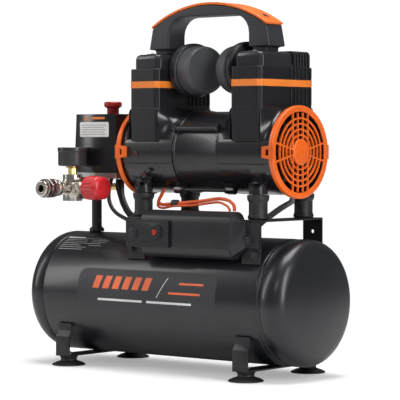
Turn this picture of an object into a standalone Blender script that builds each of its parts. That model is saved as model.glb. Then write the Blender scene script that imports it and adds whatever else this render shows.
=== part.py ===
"""Small oil-free twin-cylinder air compressor on an 8 litre tank.

Every size below is in millimetres; add_part() turns the finished mesh into metres.
X runs along the tank, -Y is the front (control side), Z is up and the feet stand on z = 0.
"""
import math

import bmesh
import bpy
from mathutils import Matrix, Vector
from mathutils.geometry import tessellate_polygon

GAP = 0.3                     # clearance between pieces that touch
LARGE_ROUND = 32              # sides of the large round pieces

# Tank
TANK_RADIUS = 80.0
BARREL_LENGTH = 390.0
TANK_WALL = 2.0
DOME_DEPTH = 25.0
DOME_KNUCKLE = 14.0
GROUND_CLEARANCE = 15.0
PORT_RADIUS = 4.0             # holes in the barrel under its fittings

# Feet
FOOT_X = 150.0
FOOT_Y = 64.5
STRAP_THICKNESS = 2.4
STRAP_WIDTH = 24.0
STRAP_OVERHANG = 11.5         # past the middle of a cup
STRAP_RISE = 25.0             # upright stretch of a strap's end
STRAP_TAB = 10.0              # welded tab above it
CUP_RADIUS = 22.5
CUP_LIP = 5.0
CUP_STEM_RADIUS = 10.0

# Motor brackets and dampers
BRACKET_X = (-31.0, 158.0)
BRACKET_WIDTH = 30.0
BRACKET_INSET = 15.0           # of a bracket's faces inside the tank's
BRACKET_HALF_DEPTH = TANK_RADIUS - BRACKET_INSET
BRACKET_SHEET = 2.5
BRACKET_RISE = 25.0           # top of the bracket above the top of the tank
DAMPER_X = (-33.0, 155.5)
DAMPER_Y = 47.0
DAMPER_RADIUS = 13.0
DAMPER_HEIGHT = 30.7
DAMPER_WAIST = 1.2

# Pump: all lengths along the shaft are counted outwards from the middle of the motor
MOTOR_X = 57.0
SHELL_RADIUS = 52.0
SHELL_WALL = 2.5
SHELL_HALF = 37.0
STATOR_BORE = 27.3
CORE_HALF = 20.0
WINDING_REACH = 10.0
SHAFT_RADIUS = 5.0
SHAFT_HALF = 123.0
DRUM_RADIUS = 54.0
DAMPER_TOP_RISE = 1.3          # of the dampers' tops above the drum's lowest point
AXIS_ABOVE_DAMPER = DRUM_RADIUS - DAMPER_TOP_RISE
DRUM_WALL = 2.5
DRUM_END = 125.3
BEARING_WALL = 4.0
CYLINDER_AT = 83.5
COWL_HALF_DEPTH = 56.0
COWL_ABOVE_DRUM = 2.0         # where the cowl starts, over the drum's top
COWL_HEIGHT = 50.7
COWL_WALL = 2.0
COWL_CHAMFER = 5.0
SHOULDER_AT = 16.0            # where the cowl's foot starts to spread, above the axis
TIE_RADIUS = 57.5
TIE_ANGLE = math.radians(32.0)
TIE_EAR_RADIUS = 5.0
PUMP_FOOT_RADIUS = 12.0

# Pistons
BORE_RADIUS = 20.0
SLEEVE_WALL = 1.9
SLEEVE_ROOM = 0.6              # between a cylinder and the cowl round it
COWL_HALF_WIDTH = BORE_RADIUS + SLEEVE_WALL + SLEEVE_ROOM + COWL_WALL
SLEEVE_TOP = 90.0             # above the shaft axis
PISTON_HEIGHT = 10.0
CRANK_THROW = 8.0
TOP_CLEARANCE = 2.0
ROD_THICKNESS = 8.0
ROD_RING_BORE = 14.3
ROD_RING_WALL = 4.0
ECCENTRIC_RADIUS = 15.5
ECCENTRIC_WIDTH = 9.0

# Heads, filters, handle
HEAD_INSET = 3.0               # of the head's sides inside the cowl's
HEAD_HALF_WIDTH = COWL_HALF_WIDTH - HEAD_INSET
HEAD_HALF_DEPTH = 50.0
HEAD_TOP = 126.0              # above the shaft axis
HEAD_ROUNDING = 6.0
FILTER_RADIUS = 34.0
FILTER_RING = 13.0
FILTER_CAP_RADIUS = 30.5
FILTER_DEPTH = 33.0
FILTER_WALL = 2.0
FILTER_TURN = math.radians(14.6)
FILTER_ABOVE_AXIS = 105.0
STUB_RADIUS = 6.0
HANDLE_X = 50.0
HANDLE_HALF_LENGTH = 96.0
HANDLE_HALF_DEPTH = 17.0
HANDLE_LEG_WIDTH = 30.0
HANDLE_FLARE = 3.5            # the legs spread by this much at the foot
HANDLE_TOP_RADIUS = 175.0
HANDLE_RISE = 66.0            # top of the handle above the heads
HANDLE_LEG_BOTTOM = 7.0       # above the heads
GRIP_THICKNESS = 17.5
GRIP_CORNER = 24.0
COVER_THICKNESS = 3.2
COLLAR_INSET = 4.0

# Fans and grilles
FAN_RADIUS = 46.0
FAN_INNER = 106.0
FAN_WIDTH = 13.0
FAN_HUB = 12.0
FAN_BLADES = 9
GRILLE_LIP = 4.5               # past the drum
GRILLE_RADIUS = DRUM_RADIUS + GRILLE_LIP
GRILLE_THICKNESS = 4.0
GRILLE_RIM = 7.0
GRILLE_TAB_REACH = 14.0       # length of the snap tabs along the drum
GRILLE_TAB_HALF = 9.0
GRILLE_TAB_WALL = 4.0

# Electrical box
BOX_LEFT = -5.7
BOX_RIGHT = 139.0
BOX_PROUD = 4.3                # of the box's front, past the tank's
BOX_FRONT = TANK_RADIUS + BOX_PROUD
BOX_DEPTH = 32.0
BOX_HEIGHT = 60.0
BOX_TOP_RISE = 35.0           # above the top of the tank
BOX_ROUNDING = 15.0
BOX_WALL = 2.5
LID_RIGHT = 43.0
LID_THICKNESS = 3.4
LID_FOOT = 22.0
LID_HEIGHT = 35.0
CAPACITOR_RADIUS = 13.0
CAPACITOR_LENGTH = 70.0
RESET_X = 22.8
RESET_RADIUS = 3.5
RESET_TRAVEL = 1.5
RESET_COLLAR = 9.0

# Stand pipe, pressure switch, regulator
PIPE_X = -158.0
PIPE_RADIUS = 6.75
PIPE_BORE = 4.0
PIPE_HEIGHT = 47.0
PIPE_FLANGE_RADIUS = 10.0
MANIFOLD_HALF = 12.0
MANIFOLD_HEIGHT = 25.0
SWITCH_WIDTH = 74.0
SWITCH_DRAFT = 4.0            # the cover is this much wider at its foot
SWITCH_DEPTH = 56.0
SWITCH_FRONT = 24.0
SWITCH_BASE_THICKNESS = 8.0
SWITCH_LEFT = -175.5
SWITCH_HEIGHT = 78.0
SWITCH_WALL = 2.5
SWITCH_ROUNDING = 4.0
BUTTON_X = -132.0
BUTTON_RADIUS = 8.0
BUTTON_CAP_RADIUS = 12.0
BUTTON_RISE = 17.0
REGULATOR_FORWARD = 48.0
REGULATOR_RADIUS = 13.0
REGULATOR_HEIGHT = 35.0
REGULATOR_DROP = 15.0         # of its axis below the pressure switch
HEX_RADIUS = 14.5
HEX_REACH = 26.9
KNOB_RADIUS = 16.0
KNOB_LENGTH = 30.0
KNOB_RIBS = 18
GAUGE_RADIUS = 20.0
GAUGE_HEIGHT = 25.0
GAUGE_STEM = 11.0
GAUGE_WELL = 6.0
NEEDLE_LENGTH = 15.0

# Quick coupler
COUPLER_LENGTH = 47.0
COUPLER_RADIUS = 9.0
COUPLER_BORE = 5.0
COUPLER_LIP = 4.0
SLEEVE_RADIUS = 12.5
SLEEVE_LENGTH = 20.0
SLEEVE_TRAVEL = 4.0

# Valves and hoses
SAFETY_RADIUS = 7.0
SAFETY_LENGTH = 26.0
RING_RADIUS = 6.0
CHECK_VALVE_X = 84.0
CHECK_VALVE_RADIUS = 9.0
CHECK_VALVE_HEIGHT = 20.0
DRAIN_TILT = math.radians(55.0)
DRAIN_LENGTH = 11.0
DRAIN_RADIUS = 6.0
DRAIN_KNOB_RADIUS = 7.0
DRAIN_KNOB_LENGTH = 7.0
HOSE_RADIUS = 4.0
CABLE_RADIUS = 3.5
LEAD_RADIUS = 2.2

# Heights and places that follow from the sizes above
TANK_Z = GROUND_CLEARANCE + TANK_RADIUS
TANK_TOP = TANK_Z + TANK_RADIUS
BRACKET_TOP = TANK_TOP + BRACKET_RISE
MOTOR_Z = BRACKET_TOP + DAMPER_HEIGHT + 2 * GAP + AXIS_ABOVE_DAMPER - GAP
HEAD_TOP_Z = MOTOR_Z + HEAD_TOP
COWL_BASE = DRUM_RADIUS + COWL_ABOVE_DRUM
SWITCH_BASE_TOP = TANK_TOP + PIPE_HEIGHT + GAP + MANIFOLD_HEIGHT + SWITCH_BASE_THICKNESS
REGULATOR_Z = SWITCH_BASE_TOP - SWITCH_BASE_THICKNESS - REGULATOR_DROP + 3.0
COUPLER_ROOT = REGULATOR_FORWARD + REGULATOR_RADIUS + 1.0
FRONT_REACH = COUPLER_ROOT + GAP + COUPLER_LENGTH
BACK_REACH = FOOT_Y + CUP_RADIUS
Y_SHIFT = (FRONT_REACH - BACK_REACH) / 2

RUBBER = (0.02, 0.02, 0.022)
CHARCOAL = (0.035, 0.036, 0.04)
ORANGE = (0.85, 0.2, 0.02)
RED = (0.62, 0.01, 0.02)
STEEL = (0.6, 0.6, 0.62)
CASTING = (0.45, 0.46, 0.48)


# ---------------------------------------------------------------- shape helpers

def turned(profile, steps=24):
    """Solid of revolution about Z from a closed (radius, height) profile."""
    bm = bmesh.new()
    rings = []
    for radius, height in profile:
        if radius < 1e-6:
            rings.append([bm.verts.new((0, 0, height))])
            continue
        angles = [2 * math.pi * i / steps for i in range(steps)]
        rings.append([bm.verts.new((radius * math.cos(a), radius * math.sin(a), height)) for a in angles])
    for ring, following in zip(rings, rings[1:] + rings[:1]):
        for i in range(steps):
            j = (i + 1) % steps
            corners = [ring[i % len(ring)], ring[j % len(ring)]]
            corners += [following[j % len(following)], following[i % len(following)]]
            distinct = list(dict.fromkeys(corners))
            if len(distinct) > 2:
                bm.faces.new(distinct)
    bmesh.ops.recalc_face_normals(bm, faces=bm.faces)
    return bm


def prism(outline, depth, holes=()):
    """Plate in the XY plane from z = 0 to depth, with straight holes through it."""
    bm = bmesh.new()
    loops = [list(outline)] + [list(hole) for hole in holes]
    flat = [[Vector((x, y, 0)) for x, y in loop] for loop in loops]
    low = [bm.verts.new((v.x, v.y, 0)) for loop in flat for v in loop]
    high = [bm.verts.new((v.x, v.y, depth)) for loop in flat for v in loop]
    for a, b, c in tessellate_polygon(flat):
        bm.faces.new((low[a], low[b], low[c]))
        bm.faces.new((high[a], high[b], high[c]))
    first = 0
    for loop in flat:
        count = len(loop)
        for i in range(count):
            j = first + (i + 1) % count
            bm.faces.new((low[first + i], low[j], high[j], high[first + i]))
        first += count
    bmesh.ops.recalc_face_normals(bm, faces=bm.faces)
    return bm


def block(low, high):
    """Plain box between two corners."""
    (x0, y0, z0), (x1, y1, z1) = low, high
    bm = prism([(x0, y0), (x1, y0), (x1, y1), (x0, y1)], z1 - z0)
    return moved(bm, Matrix.Translation((0, 0, z0)))


def hull(points):
    """Smallest convex solid round the points."""
    bm = bmesh.new()
    for point in points:
        bm.verts.new(point)
    result = bmesh.ops.convex_hull(bm, input=bm.verts)
    loose = [item for item in result["geom_interior"] if isinstance(item, bmesh.types.BMVert)]
    bmesh.ops.delete(bm, geom=loose, context="VERTS")
    bmesh.ops.recalc_face_normals(bm, faces=bm.faces)
    return bm


def cylinder(radius, length, steps=24):
    """Rod standing on z = 0."""
    return turned([(0, 0), (radius, 0), (radius, length), (0, length)], steps)


def pipe(inner, outer, length, steps=24):
    """Tube standing on z = 0."""
    return turned([(inner, 0), (outer, 0), (outer, length), (inner, length)], steps)


def circle(radius, steps=24, centre=(0, 0)):
    """Round outline."""
    angles = [2 * math.pi * i / steps for i in range(steps)]
    return [(centre[0] + radius * math.cos(a), centre[1] + radius * math.sin(a)) for a in angles]


def arc(centre, radius, start, end, steps):
    """Points along an arc, both ends included; angles in degrees."""
    angles = [math.radians(start + (end - start) * i / steps) for i in range(steps + 1)]
    return [(centre[0] + radius * math.cos(a), centre[1] + radius * math.sin(a)) for a in angles]


def rounded_rectangle(x0, y0, x1, y1, radius, steps=4):
    """Outline of a rectangle with round corners; one step gives a chamfer."""
    points = arc((x1 - radius, y1 - radius), radius, 0, 90, steps)
    points += arc((x0 + radius, y1 - radius), radius, 90, 180, steps)
    points += arc((x0 + radius, y0 + radius), radius, 180, 270, steps)
    points += arc((x1 - radius, y0 + radius), radius, 270, 360, steps)
    return points


def moved(bm, matrix):
    """The same solid in another place."""
    bm.transform(matrix)
    return bm


def along_x(bm):
    """Turn a solid that stands on z = 0 so that it points along +X."""
    return moved(bm, Matrix.Rotation(math.pi / 2, 4, "Y"))


def along_y(bm):
    """Turn a solid that stands on z = 0 so that it points along +Y."""
    return moved(bm, Matrix.Rotation(-math.pi / 2, 4, "X"))


def at(bm, x, y, z):
    """Shift a solid."""
    return moved(bm, Matrix.Translation((x, y, z)))


def side_prism(outline, width):
    """Plate from an (X, Z) outline, with its thickness along Y, centred on y = 0."""
    return moved(prism(outline, width), Matrix.Translation((0, width / 2, 0)) @ Matrix.Rotation(math.pi / 2, 4, "X"))


def upright(bm):
    """Turn a plate from the XY plane so that its outline is (Y, Z) and its thickness is along X."""
    return moved(bm, Matrix(((0, 0, 1, 0), (1, 0, 0, 0), (0, 1, 0, 0), (0, 0, 0, 1))))


def end_prism(outline, width):
    """Plate from a (Y, Z) outline, with its thickness along X from x = 0."""
    return upright(prism(outline, width))


def boolean(bm, other, operation):
    """Union with, or difference from, another solid, by Blender's exact solver."""
    stock = bpy.data.objects.new("stock", bpy.data.meshes.new("stock"))
    tool = bpy.data.objects.new("tool", bpy.data.meshes.new("tool"))
    bm.to_mesh(stock.data)
    other.to_mesh(tool.data)
    for item in (stock, tool):
        bpy.context.collection.objects.link(item)
    modifier = stock.modifiers.new("boolean", "BOOLEAN")
    modifier.operation = operation
    modifier.solver = "EXACT"
    modifier.object = tool
    evaluated = stock.evaluated_get(bpy.context.evaluated_depsgraph_get())
    result = bmesh.new()
    result.from_mesh(evaluated.to_mesh())
    evaluated.to_mesh_clear()
    bmesh.ops.remove_doubles(result, verts=result.verts, dist=0.001)
    bmesh.ops.dissolve_degenerate(result, edges=result.edges, dist=0.001)
    for item in (stock, tool):
        mesh = item.data
        bpy.data.objects.remove(item)
        bpy.data.meshes.remove(mesh)
    bm.free()
    other.free()
    return result


def joined(bm, *others):
    """Union of several solids."""
    for other in others:
        bm = boolean(bm, other, "UNION")
    return bm


def cut(bm, *tools):
    """A solid with others taken out of it."""
    for tool in tools:
        bm = boolean(bm, tool, "DIFFERENCE")
    return bm


# ---------------------------------------------------------------- scene helpers

def finish(name, colour, roughness, metallic):
    """One Principled material for one piece."""
    material = bpy.data.materials.new(name + "_finish")
    material.use_nodes = True
    shader = material.node_tree.nodes["Principled BSDF"]
    shader.inputs["Base Color"].default_value = (*colour, 1)
    shader.inputs["Roughness"].default_value = roughness
    shader.inputs["Metallic"].default_value = metallic
    return material


def add_part(name, bm, look, origin=(0, 0, 0)):
    """Make the named object from a solid in millimetres, with its own origin and finish."""
    moved(bm, Matrix.Scale(0.001, 4) @ Matrix.Translation(-Vector(origin)))
    mesh = bpy.data.meshes.new(name)
    bm.to_mesh(mesh)
    bm.free()
    mesh.shade_smooth()
    mesh.set_sharp_from_angle(angle=math.radians(35))
    mesh.materials.append(finish(name, *look))
    item = bpy.data.objects.new(name, mesh)
    bpy.context.collection.objects.link(item)
    item.location = Vector(origin) * 0.001
    item.parent = bpy.data.objects["compressor_origin"]
    return item


def add_cord(name, route, radius, look, sides=2):
    """A cable or hose along a smooth curve through the route's points."""
    points = smooth_route([Vector(point) for point in route], 2.5 * 2 * radius)
    curve = bpy.data.curves.new(name, "CURVE")
    curve.dimensions = "3D"
    curve.bevel_depth = radius * 0.001
    curve.bevel_resolution = sides
    curve.use_fill_caps = True
    spline = curve.splines.new("POLY")
    spline.points.add(len(points) - 1)
    for target, point in zip(spline.points, points):
        target.co = (*(point * 0.001), 1)
    curve.materials.append(finish(name, *look))
    item = bpy.data.objects.new(name, curve)
    bpy.context.collection.objects.link(item)
    item.parent = bpy.data.objects["compressor_origin"]


def smooth_route(knots, spacing):
    """Points about a spacing apart on a Catmull-Rom curve through the knots."""
    padded = [2 * knots[0] - knots[1]] + knots + [2 * knots[-1] - knots[-2]]
    points = [knots[0]]
    for before, start, end, after in zip(padded, padded[1:], padded[2:], padded[3:]):
        count = max(1, round((end - start).length / spacing))
        for i in range(1, count + 1):
            t = i / count
            linear = (end - before) * t
            square = (2 * before - 5 * start + 4 * end - after) * t ** 2
            cube = (3 * start - before - 3 * end + after) * t ** 3
            points.append((2 * start + linear + square + cube) / 2)
    return points


def tank_surface(y, clearance=GAP):
    """Height of the tank's outside, plus a clearance, above a line at this y."""
    reach = TANK_RADIUS + clearance
    return TANK_Z + math.sqrt(max(reach ** 2 - y ** 2, 0))


# ---------------------------------------------------------------- tank and feet

def dome_curve(radius, depth, knuckle):
    """Torispherical end from its rim to its middle, as (radius, height) points."""
    crown = (depth ** 2 - knuckle ** 2 + (radius - knuckle) ** 2) / (2 * (depth - knuckle))
    reach = math.asin((radius - knuckle) / (crown - knuckle))
    points = []
    for i in range(4):
        angle = (math.pi / 2 - reach) * i / 3
        points.append((radius - knuckle + knuckle * math.cos(angle), knuckle * math.sin(angle)))
    for i in range(1, 4):
        angle = reach * (1 - i / 3)
        points.append((crown * math.sin(angle), depth - crown + crown * math.cos(angle)))
    points[-1] = (0, depth)
    return points


def build_tank():
    """Rolled barrel with holes under its fittings, and two pressed ends."""
    barrel = pipe(TANK_RADIUS - TANK_WALL, TANK_RADIUS, BARREL_LENGTH, LARGE_ROUND)
    barrel = at(along_x(barrel), -BARREL_LENGTH / 2, 0, 0)
    for x, tilt in ((PIPE_X, 0), (CHECK_VALVE_X, 0), (0, -math.pi / 2 - DRAIN_TILT)):
        drill = at(cylinder(PORT_RADIUS, 2 * TANK_WALL + 10, 12), 0, 0, TANK_RADIUS - TANK_WALL - 5)
        drill = at(moved(drill, Matrix.Rotation(tilt, 4, "X")), x, 0, 0)
        barrel = cut(barrel, drill)
    add_part("tank_barrel", at(barrel, 0, 0, TANK_Z), (CHARCOAL, 0.35, 0.3))
    for name, side in (("tank_end_left", -1), ("tank_end_right", 1)):
        outer = dome_curve(TANK_RADIUS, DOME_DEPTH, DOME_KNUCKLE)
        inner = dome_curve(TANK_RADIUS - TANK_WALL, DOME_DEPTH - TANK_WALL, DOME_KNUCKLE - TANK_WALL)
        dome = along_x(turned(outer + inner[::-1], LARGE_ROUND))
        dome = at(dome, BARREL_LENGTH / 2 + GAP, 0, TANK_Z)
        if side < 0:
            dome = moved(dome, Matrix.Rotation(math.pi, 4, "Z"))
        add_part(name, dome, (CHARCOAL, 0.35, 0.3))


def sheet_outline(middle, thickness):
    """Closed outline of a bent strip from the points along its middle."""
    points = [Vector(point) for point in middle]
    left, right = [], []
    for i, point in enumerate(points):
        ahead = (points[min(i + 1, len(points) - 1)] - point)
        behind = (point - points[max(i - 1, 0)])
        directions = [d.normalized() for d in (ahead, behind) if d.length > 0]
        along = sum(directions, Vector((0, 0))).normalized()
        stretch = 1 / max(along.dot(directions[0]), 0.5)
        normal = Vector((-along.y, along.x)) * thickness / 2 * stretch
        left.append(tuple(point + normal))
        right.append(tuple(point - normal))
    return left + right[::-1]


def build_feet():
    """Strap brackets welded under the tank, each on two suction cups."""
    strap_bottom = GROUND_CLEARANCE - GAP - STRAP_THICKNESS
    bottom = strap_bottom + STRAP_THICKNESS / 2
    edge = FOOT_Y + STRAP_OVERHANG
    knee = bottom + STRAP_RISE
    tab_top = knee + 7 + STRAP_TAB
    reach = TANK_RADIUS + GAP
    tab_y = math.sqrt(reach ** 2 - (TANK_Z - tab_top) ** 2) + STRAP_THICKNESS / 2
    end = [(edge, bottom), (edge, knee), (tab_y, knee + 7), (tab_y, tab_top)]
    middle = [(-y, z) for y, z in end[::-1]] + end
    for name, x in (("foot_bracket_left", -FOOT_X), ("foot_bracket_right", FOOT_X)):
        strap = at(end_prism(sheet_outline(middle, STRAP_THICKNESS), STRAP_WIDTH), x - STRAP_WIDTH / 2, 0, 0)
        add_part(name, strap, (CHARCOAL, 0.4, 0.3))
    top = strap_bottom - GAP
    profile = [(CUP_RADIUS - CUP_LIP, 0), (CUP_RADIUS, 0), (CUP_RADIUS, 1.2), (CUP_RADIUS * 0.72, top * 0.38)]
    profile += [(CUP_STEM_RADIUS, top * 0.55), (CUP_STEM_RADIUS + 1, top), (0, top), (0, top * 0.3)]
    profile += [(CUP_STEM_RADIUS, top * 0.25)]
    for side, x in (("left", -FOOT_X), ("right", FOOT_X)):
        for face, y in (("front", -FOOT_Y), ("back", FOOT_Y)):
            add_part(f"foot_cup_{face}_{side}", at(turned(profile, 20), x, y, 0), (RUBBER, 0.6, 0))


# ---------------------------------------------------------------- motor mounting

def build_brackets():
    """Two inverted-U sheet brackets across the tank, each carrying two rubber dampers."""
    outer = BRACKET_HALF_DEPTH
    inner = outer - BRACKET_SHEET
    foot = tank_surface(inner)
    outline = [(-outer, foot), (-inner, foot), (-inner, BRACKET_TOP - BRACKET_SHEET)]
    outline += [(inner, BRACKET_TOP - BRACKET_SHEET), (inner, foot), (outer, foot)]
    outline += [(outer, BRACKET_TOP - 1), (outer - 1, BRACKET_TOP)]
    outline += [(1 - outer, BRACKET_TOP), (-outer, BRACKET_TOP - 1)]
    for name, x in zip(("motor_bracket_left", "motor_bracket_right"), BRACKET_X):
        bracket = at(end_prism(outline, BRACKET_WIDTH), x - BRACKET_WIDTH / 2, 0, 0)
        hole = at(along_y(cylinder(2.5, 2 * BRACKET_SHEET + 2, 12)), x, inner - BRACKET_SHEET, BRACKET_TOP - 18)
        add_part(name, cut(bracket, hole), (CHARCOAL, 0.4, 0.3))
    low, high = 0, DAMPER_HEIGHT - GAP
    profile = [(0, low), (DAMPER_RADIUS, low), (DAMPER_RADIUS - DAMPER_WAIST, low + 6)]
    profile += [(DAMPER_RADIUS - DAMPER_WAIST, high - 8), (DAMPER_RADIUS + 1, high - 5)]
    profile += [(DAMPER_RADIUS + 1, high), (0, high)]
    for side, x in zip(("left", "right"), DAMPER_X):
        for face, y in (("front", -DAMPER_Y), ("back", DAMPER_Y)):
            damper = at(turned(profile, 24), x, y, BRACKET_TOP + GAP)
            add_part(f"damper_{face}_{side}", damper, (RUBBER, 0.55, 0))


# ---------------------------------------------------------------- motor and pump

def on_motor(bm, side):
    """Put a solid built outwards from the motor's middle on its left or right side."""
    turn = Matrix.Rotation(0 if side > 0 else math.pi, 4, "Z")
    return moved(bm, Matrix.Translation((MOTOR_X, 0, MOTOR_Z)) @ turn)


def on_shaft(bm, start):
    """Lay a turned solid along the shaft, starting this far from the motor's middle."""
    return at(along_x(bm), start, 0, 0)


def build_motor():
    """Steel shell round the stator, with the rotor and its shaft inside."""
    centre = (MOTOR_X, 0, MOTOR_Z)
    shell = on_shaft(pipe(SHELL_RADIUS - SHELL_WALL, SHELL_RADIUS, 2 * SHELL_HALF), -SHELL_HALF)
    add_part("motor_shell", on_motor(shell, 1), (CHARCOAL, 0.35, 0.4))
    stator_outer = SHELL_RADIUS - SHELL_WALL - GAP
    winding = (STATOR_BORE + 3, stator_outer - 5)
    ends = CORE_HALF + WINDING_REACH
    profile = [(STATOR_BORE, -CORE_HALF), (winding[0], -CORE_HALF), (winding[0], -ends), (winding[1], -ends)]
    profile += [(winding[1], -CORE_HALF), (stator_outer, -CORE_HALF)]
    profile += [(radius, -height) for radius, height in profile[::-1]]
    add_part("stator", on_motor(on_shaft(turned(profile), 0), 1), ((0.35, 0.2, 0.1), 0.5, 0.6))
    rotor_radius = STATOR_BORE - GAP
    profile = [(0, -SHAFT_HALF), (SHAFT_RADIUS, -SHAFT_HALF), (SHAFT_RADIUS, -CORE_HALF)]
    profile += [(rotor_radius, -CORE_HALF), (rotor_radius, CORE_HALF), (SHAFT_RADIUS, CORE_HALF)]
    profile += [(SHAFT_RADIUS, SHAFT_HALF), (0, SHAFT_HALF)]
    add_part("rotor", on_motor(on_shaft(turned(profile), 0), 1), (STEEL, 0.3, 1.0), centre)


def crankcase(side):
    """Drum with a bearing wall, a spreading neck for the cylinder, tie-bolt ears and two feet."""
    start = SHELL_HALF + GAP
    drum = on_shaft(cylinder(DRUM_RADIUS, DRUM_END - start, LARGE_ROUND), start)
    low, high = CYLINDER_AT - COWL_HALF_WIDTH, CYLINDER_AT + COWL_HALF_WIDTH
    chamfer = COWL_CHAMFER
    top = [(x, y, COWL_BASE) for x, y in rounded_rectangle(low, -COWL_HALF_DEPTH, high, COWL_HALF_DEPTH, chamfer, 1)]
    spread_low, spread_high = start + 3, DRUM_END - GRILLE_RIM - 1
    reach = DRUM_RADIUS * math.cos(math.asin(SHOULDER_AT / DRUM_RADIUS)) - 0.5
    foot = [(x, y, SHOULDER_AT) for x in (spread_low, spread_high) for y in (-reach, reach)]
    case = joined(drum, hull(top + foot))
    boss_at = abs(DAMPER_X[1 if side > 0 else 0] - MOTOR_X)
    for y in (-DAMPER_Y, DAMPER_Y):
        boss = cylinder(PUMP_FOOT_RADIUS, AXIS_ABOVE_DAMPER - SHOULDER_AT, 16)
        case = joined(case, at(boss, boss_at, y, -AXIS_ABOVE_DAMPER + GAP))
    for quarter in range(4):
        angle = TIE_ANGLE + quarter * math.pi / 2
        ear = on_shaft(cylinder(TIE_EAR_RADIUS, 12, 8), start)
        ear = at(ear, 0, -side * TIE_RADIUS * math.cos(angle), TIE_RADIUS * math.sin(angle))
        case = joined(case, ear)
    cavity = on_shaft(cylinder(DRUM_RADIUS - DRUM_WALL, DRUM_END, LARGE_ROUND), start + BEARING_WALL)
    bore = cylinder(BORE_RADIUS + SLEEVE_WALL - 1, COWL_BASE + 20)
    shaft_hole = on_shaft(cylinder(SHAFT_RADIUS + GAP, 30), start - 5)
    return cut(case, cavity, at(bore, CYLINDER_AT, 0, 0), shaft_hole)


def build_crankcases():
    """A crankcase half on each end of the motor shell."""
    for name, side in (("crankcase_left", -1), ("crankcase_right", 1)):
        add_part(name, on_motor(crankcase(side), side), (CHARCOAL, 0.4, 0.1))


def build_pistons():
    """Cylinder sleeves, wobble pistons with their rods, and the eccentrics beside the rods.

    The crank pin is left open: a rod's ring goes round the shaft with room for the whole stroke.
    """
    throws = {-1: -CRANK_THROW, 1: CRANK_THROW}
    centre = (MOTOR_X, 0, MOTOR_Z)
    for word, side in (("left", -1), ("right", 1)):
        sleeve = pipe(BORE_RADIUS, BORE_RADIUS + SLEEVE_WALL, SLEEVE_TOP - COWL_BASE - GAP)
        sleeve = at(sleeve, CYLINDER_AT, 0, COWL_BASE + GAP)
        add_part(f"cylinder_{word}", on_motor(sleeve, side), (CASTING, 0.3, 1.0))
        crown = SLEEVE_TOP - TOP_CLEARANCE - CRANK_THROW
        rod_start = CYLINDER_AT - ROD_THICKNESS / 2
        ring = on_shaft(pipe(ROD_RING_BORE, ROD_RING_BORE + ROD_RING_WALL, ROD_THICKNESS), rod_start)
        rod_low = ROD_RING_BORE + ROD_RING_WALL / 2
        rod = block((rod_start + 1, -7, rod_low), (rod_start + ROD_THICKNESS - 1, 7, crown - PISTON_HEIGHT / 2))
        disc = at(cylinder(BORE_RADIUS - GAP, PISTON_HEIGHT), CYLINDER_AT, 0, crown - PISTON_HEIGHT)
        piston = at(joined(ring, rod, disc), 0, 0, throws[side])
        middle = (MOTOR_X + side * CYLINDER_AT, 0, MOTOR_Z)
        add_part(f"piston_{word}", on_motor(piston, side), (CASTING, 0.4, 1.0), middle)
        hole = circle(SHAFT_RADIUS + GAP)
        cam = prism(circle(ECCENTRIC_RADIUS, 24, (0, throws[side])), ECCENTRIC_WIDTH, [hole])
        cam = at(upright(cam), rod_start - 0.5 - ECCENTRIC_WIDTH, 0, 0)
        add_part(f"eccentric_{word}", on_motor(cam, side), (STEEL, 0.35, 1.0), centre)


def build_heads():
    """Cowl round each cylinder and the head that closes it."""
    for word, side in (("left", -1), ("right", 1)):
        width, depth, chamfer = COWL_HALF_WIDTH, COWL_HALF_DEPTH, COWL_CHAMFER
        outline = rounded_rectangle(-width, -depth, width, depth, chamfer, 1)
        wall = COWL_WALL
        inner = rounded_rectangle(wall - width, wall - depth, width - wall, depth - wall, chamfer - wall / 2, 1)
        shroud = at(prism(outline, COWL_HEIGHT, [inner]), CYLINDER_AT, 0, COWL_BASE + GAP)
        notch = block((-30, -STUB_RADIUS - 2, 0), (0, STUB_RADIUS + 2, 40))
        shroud = cut(shroud, at(notch, CYLINDER_AT, 0, FILTER_ABOVE_AXIS - STUB_RADIUS - 2))
        add_part(f"shroud_{word}", on_motor(shroud, side), (CHARCOAL, 0.45, 0))
        half = (HEAD_HALF_WIDTH, HEAD_HALF_DEPTH)
        low = SLEEVE_TOP + GAP
        layers = [(low, 0), (HEAD_TOP - HEAD_ROUNDING, 0)]
        layers += [(HEAD_TOP - HEAD_ROUNDING * 0.3, HEAD_ROUNDING * 0.3), (HEAD_TOP, HEAD_ROUNDING)]
        points = []
        for z, inset in layers:
            x, y = half[0] - inset, half[1] - inset
            points += [(px, py, z) for px, py in rounded_rectangle(-x, -y, x, y, COWL_CHAMFER - inset / 2, 1)]
        head = hull(points)
        chamber = block((-half[0] + 5, -half[1] + 6, low - 2), (half[0] - 5, half[1] - 6, low + 12))
        chamber_wall = block((-half[0], -2, low - 3), (half[0], 2, low + 13))
        head = at(cut(head, cut(chamber, chamber_wall)), CYLINDER_AT, 0, 0)
        add_part(f"cylinder_head_{word}", on_motor(head, side), (CHARCOAL, 0.4, 0.5))


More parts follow.
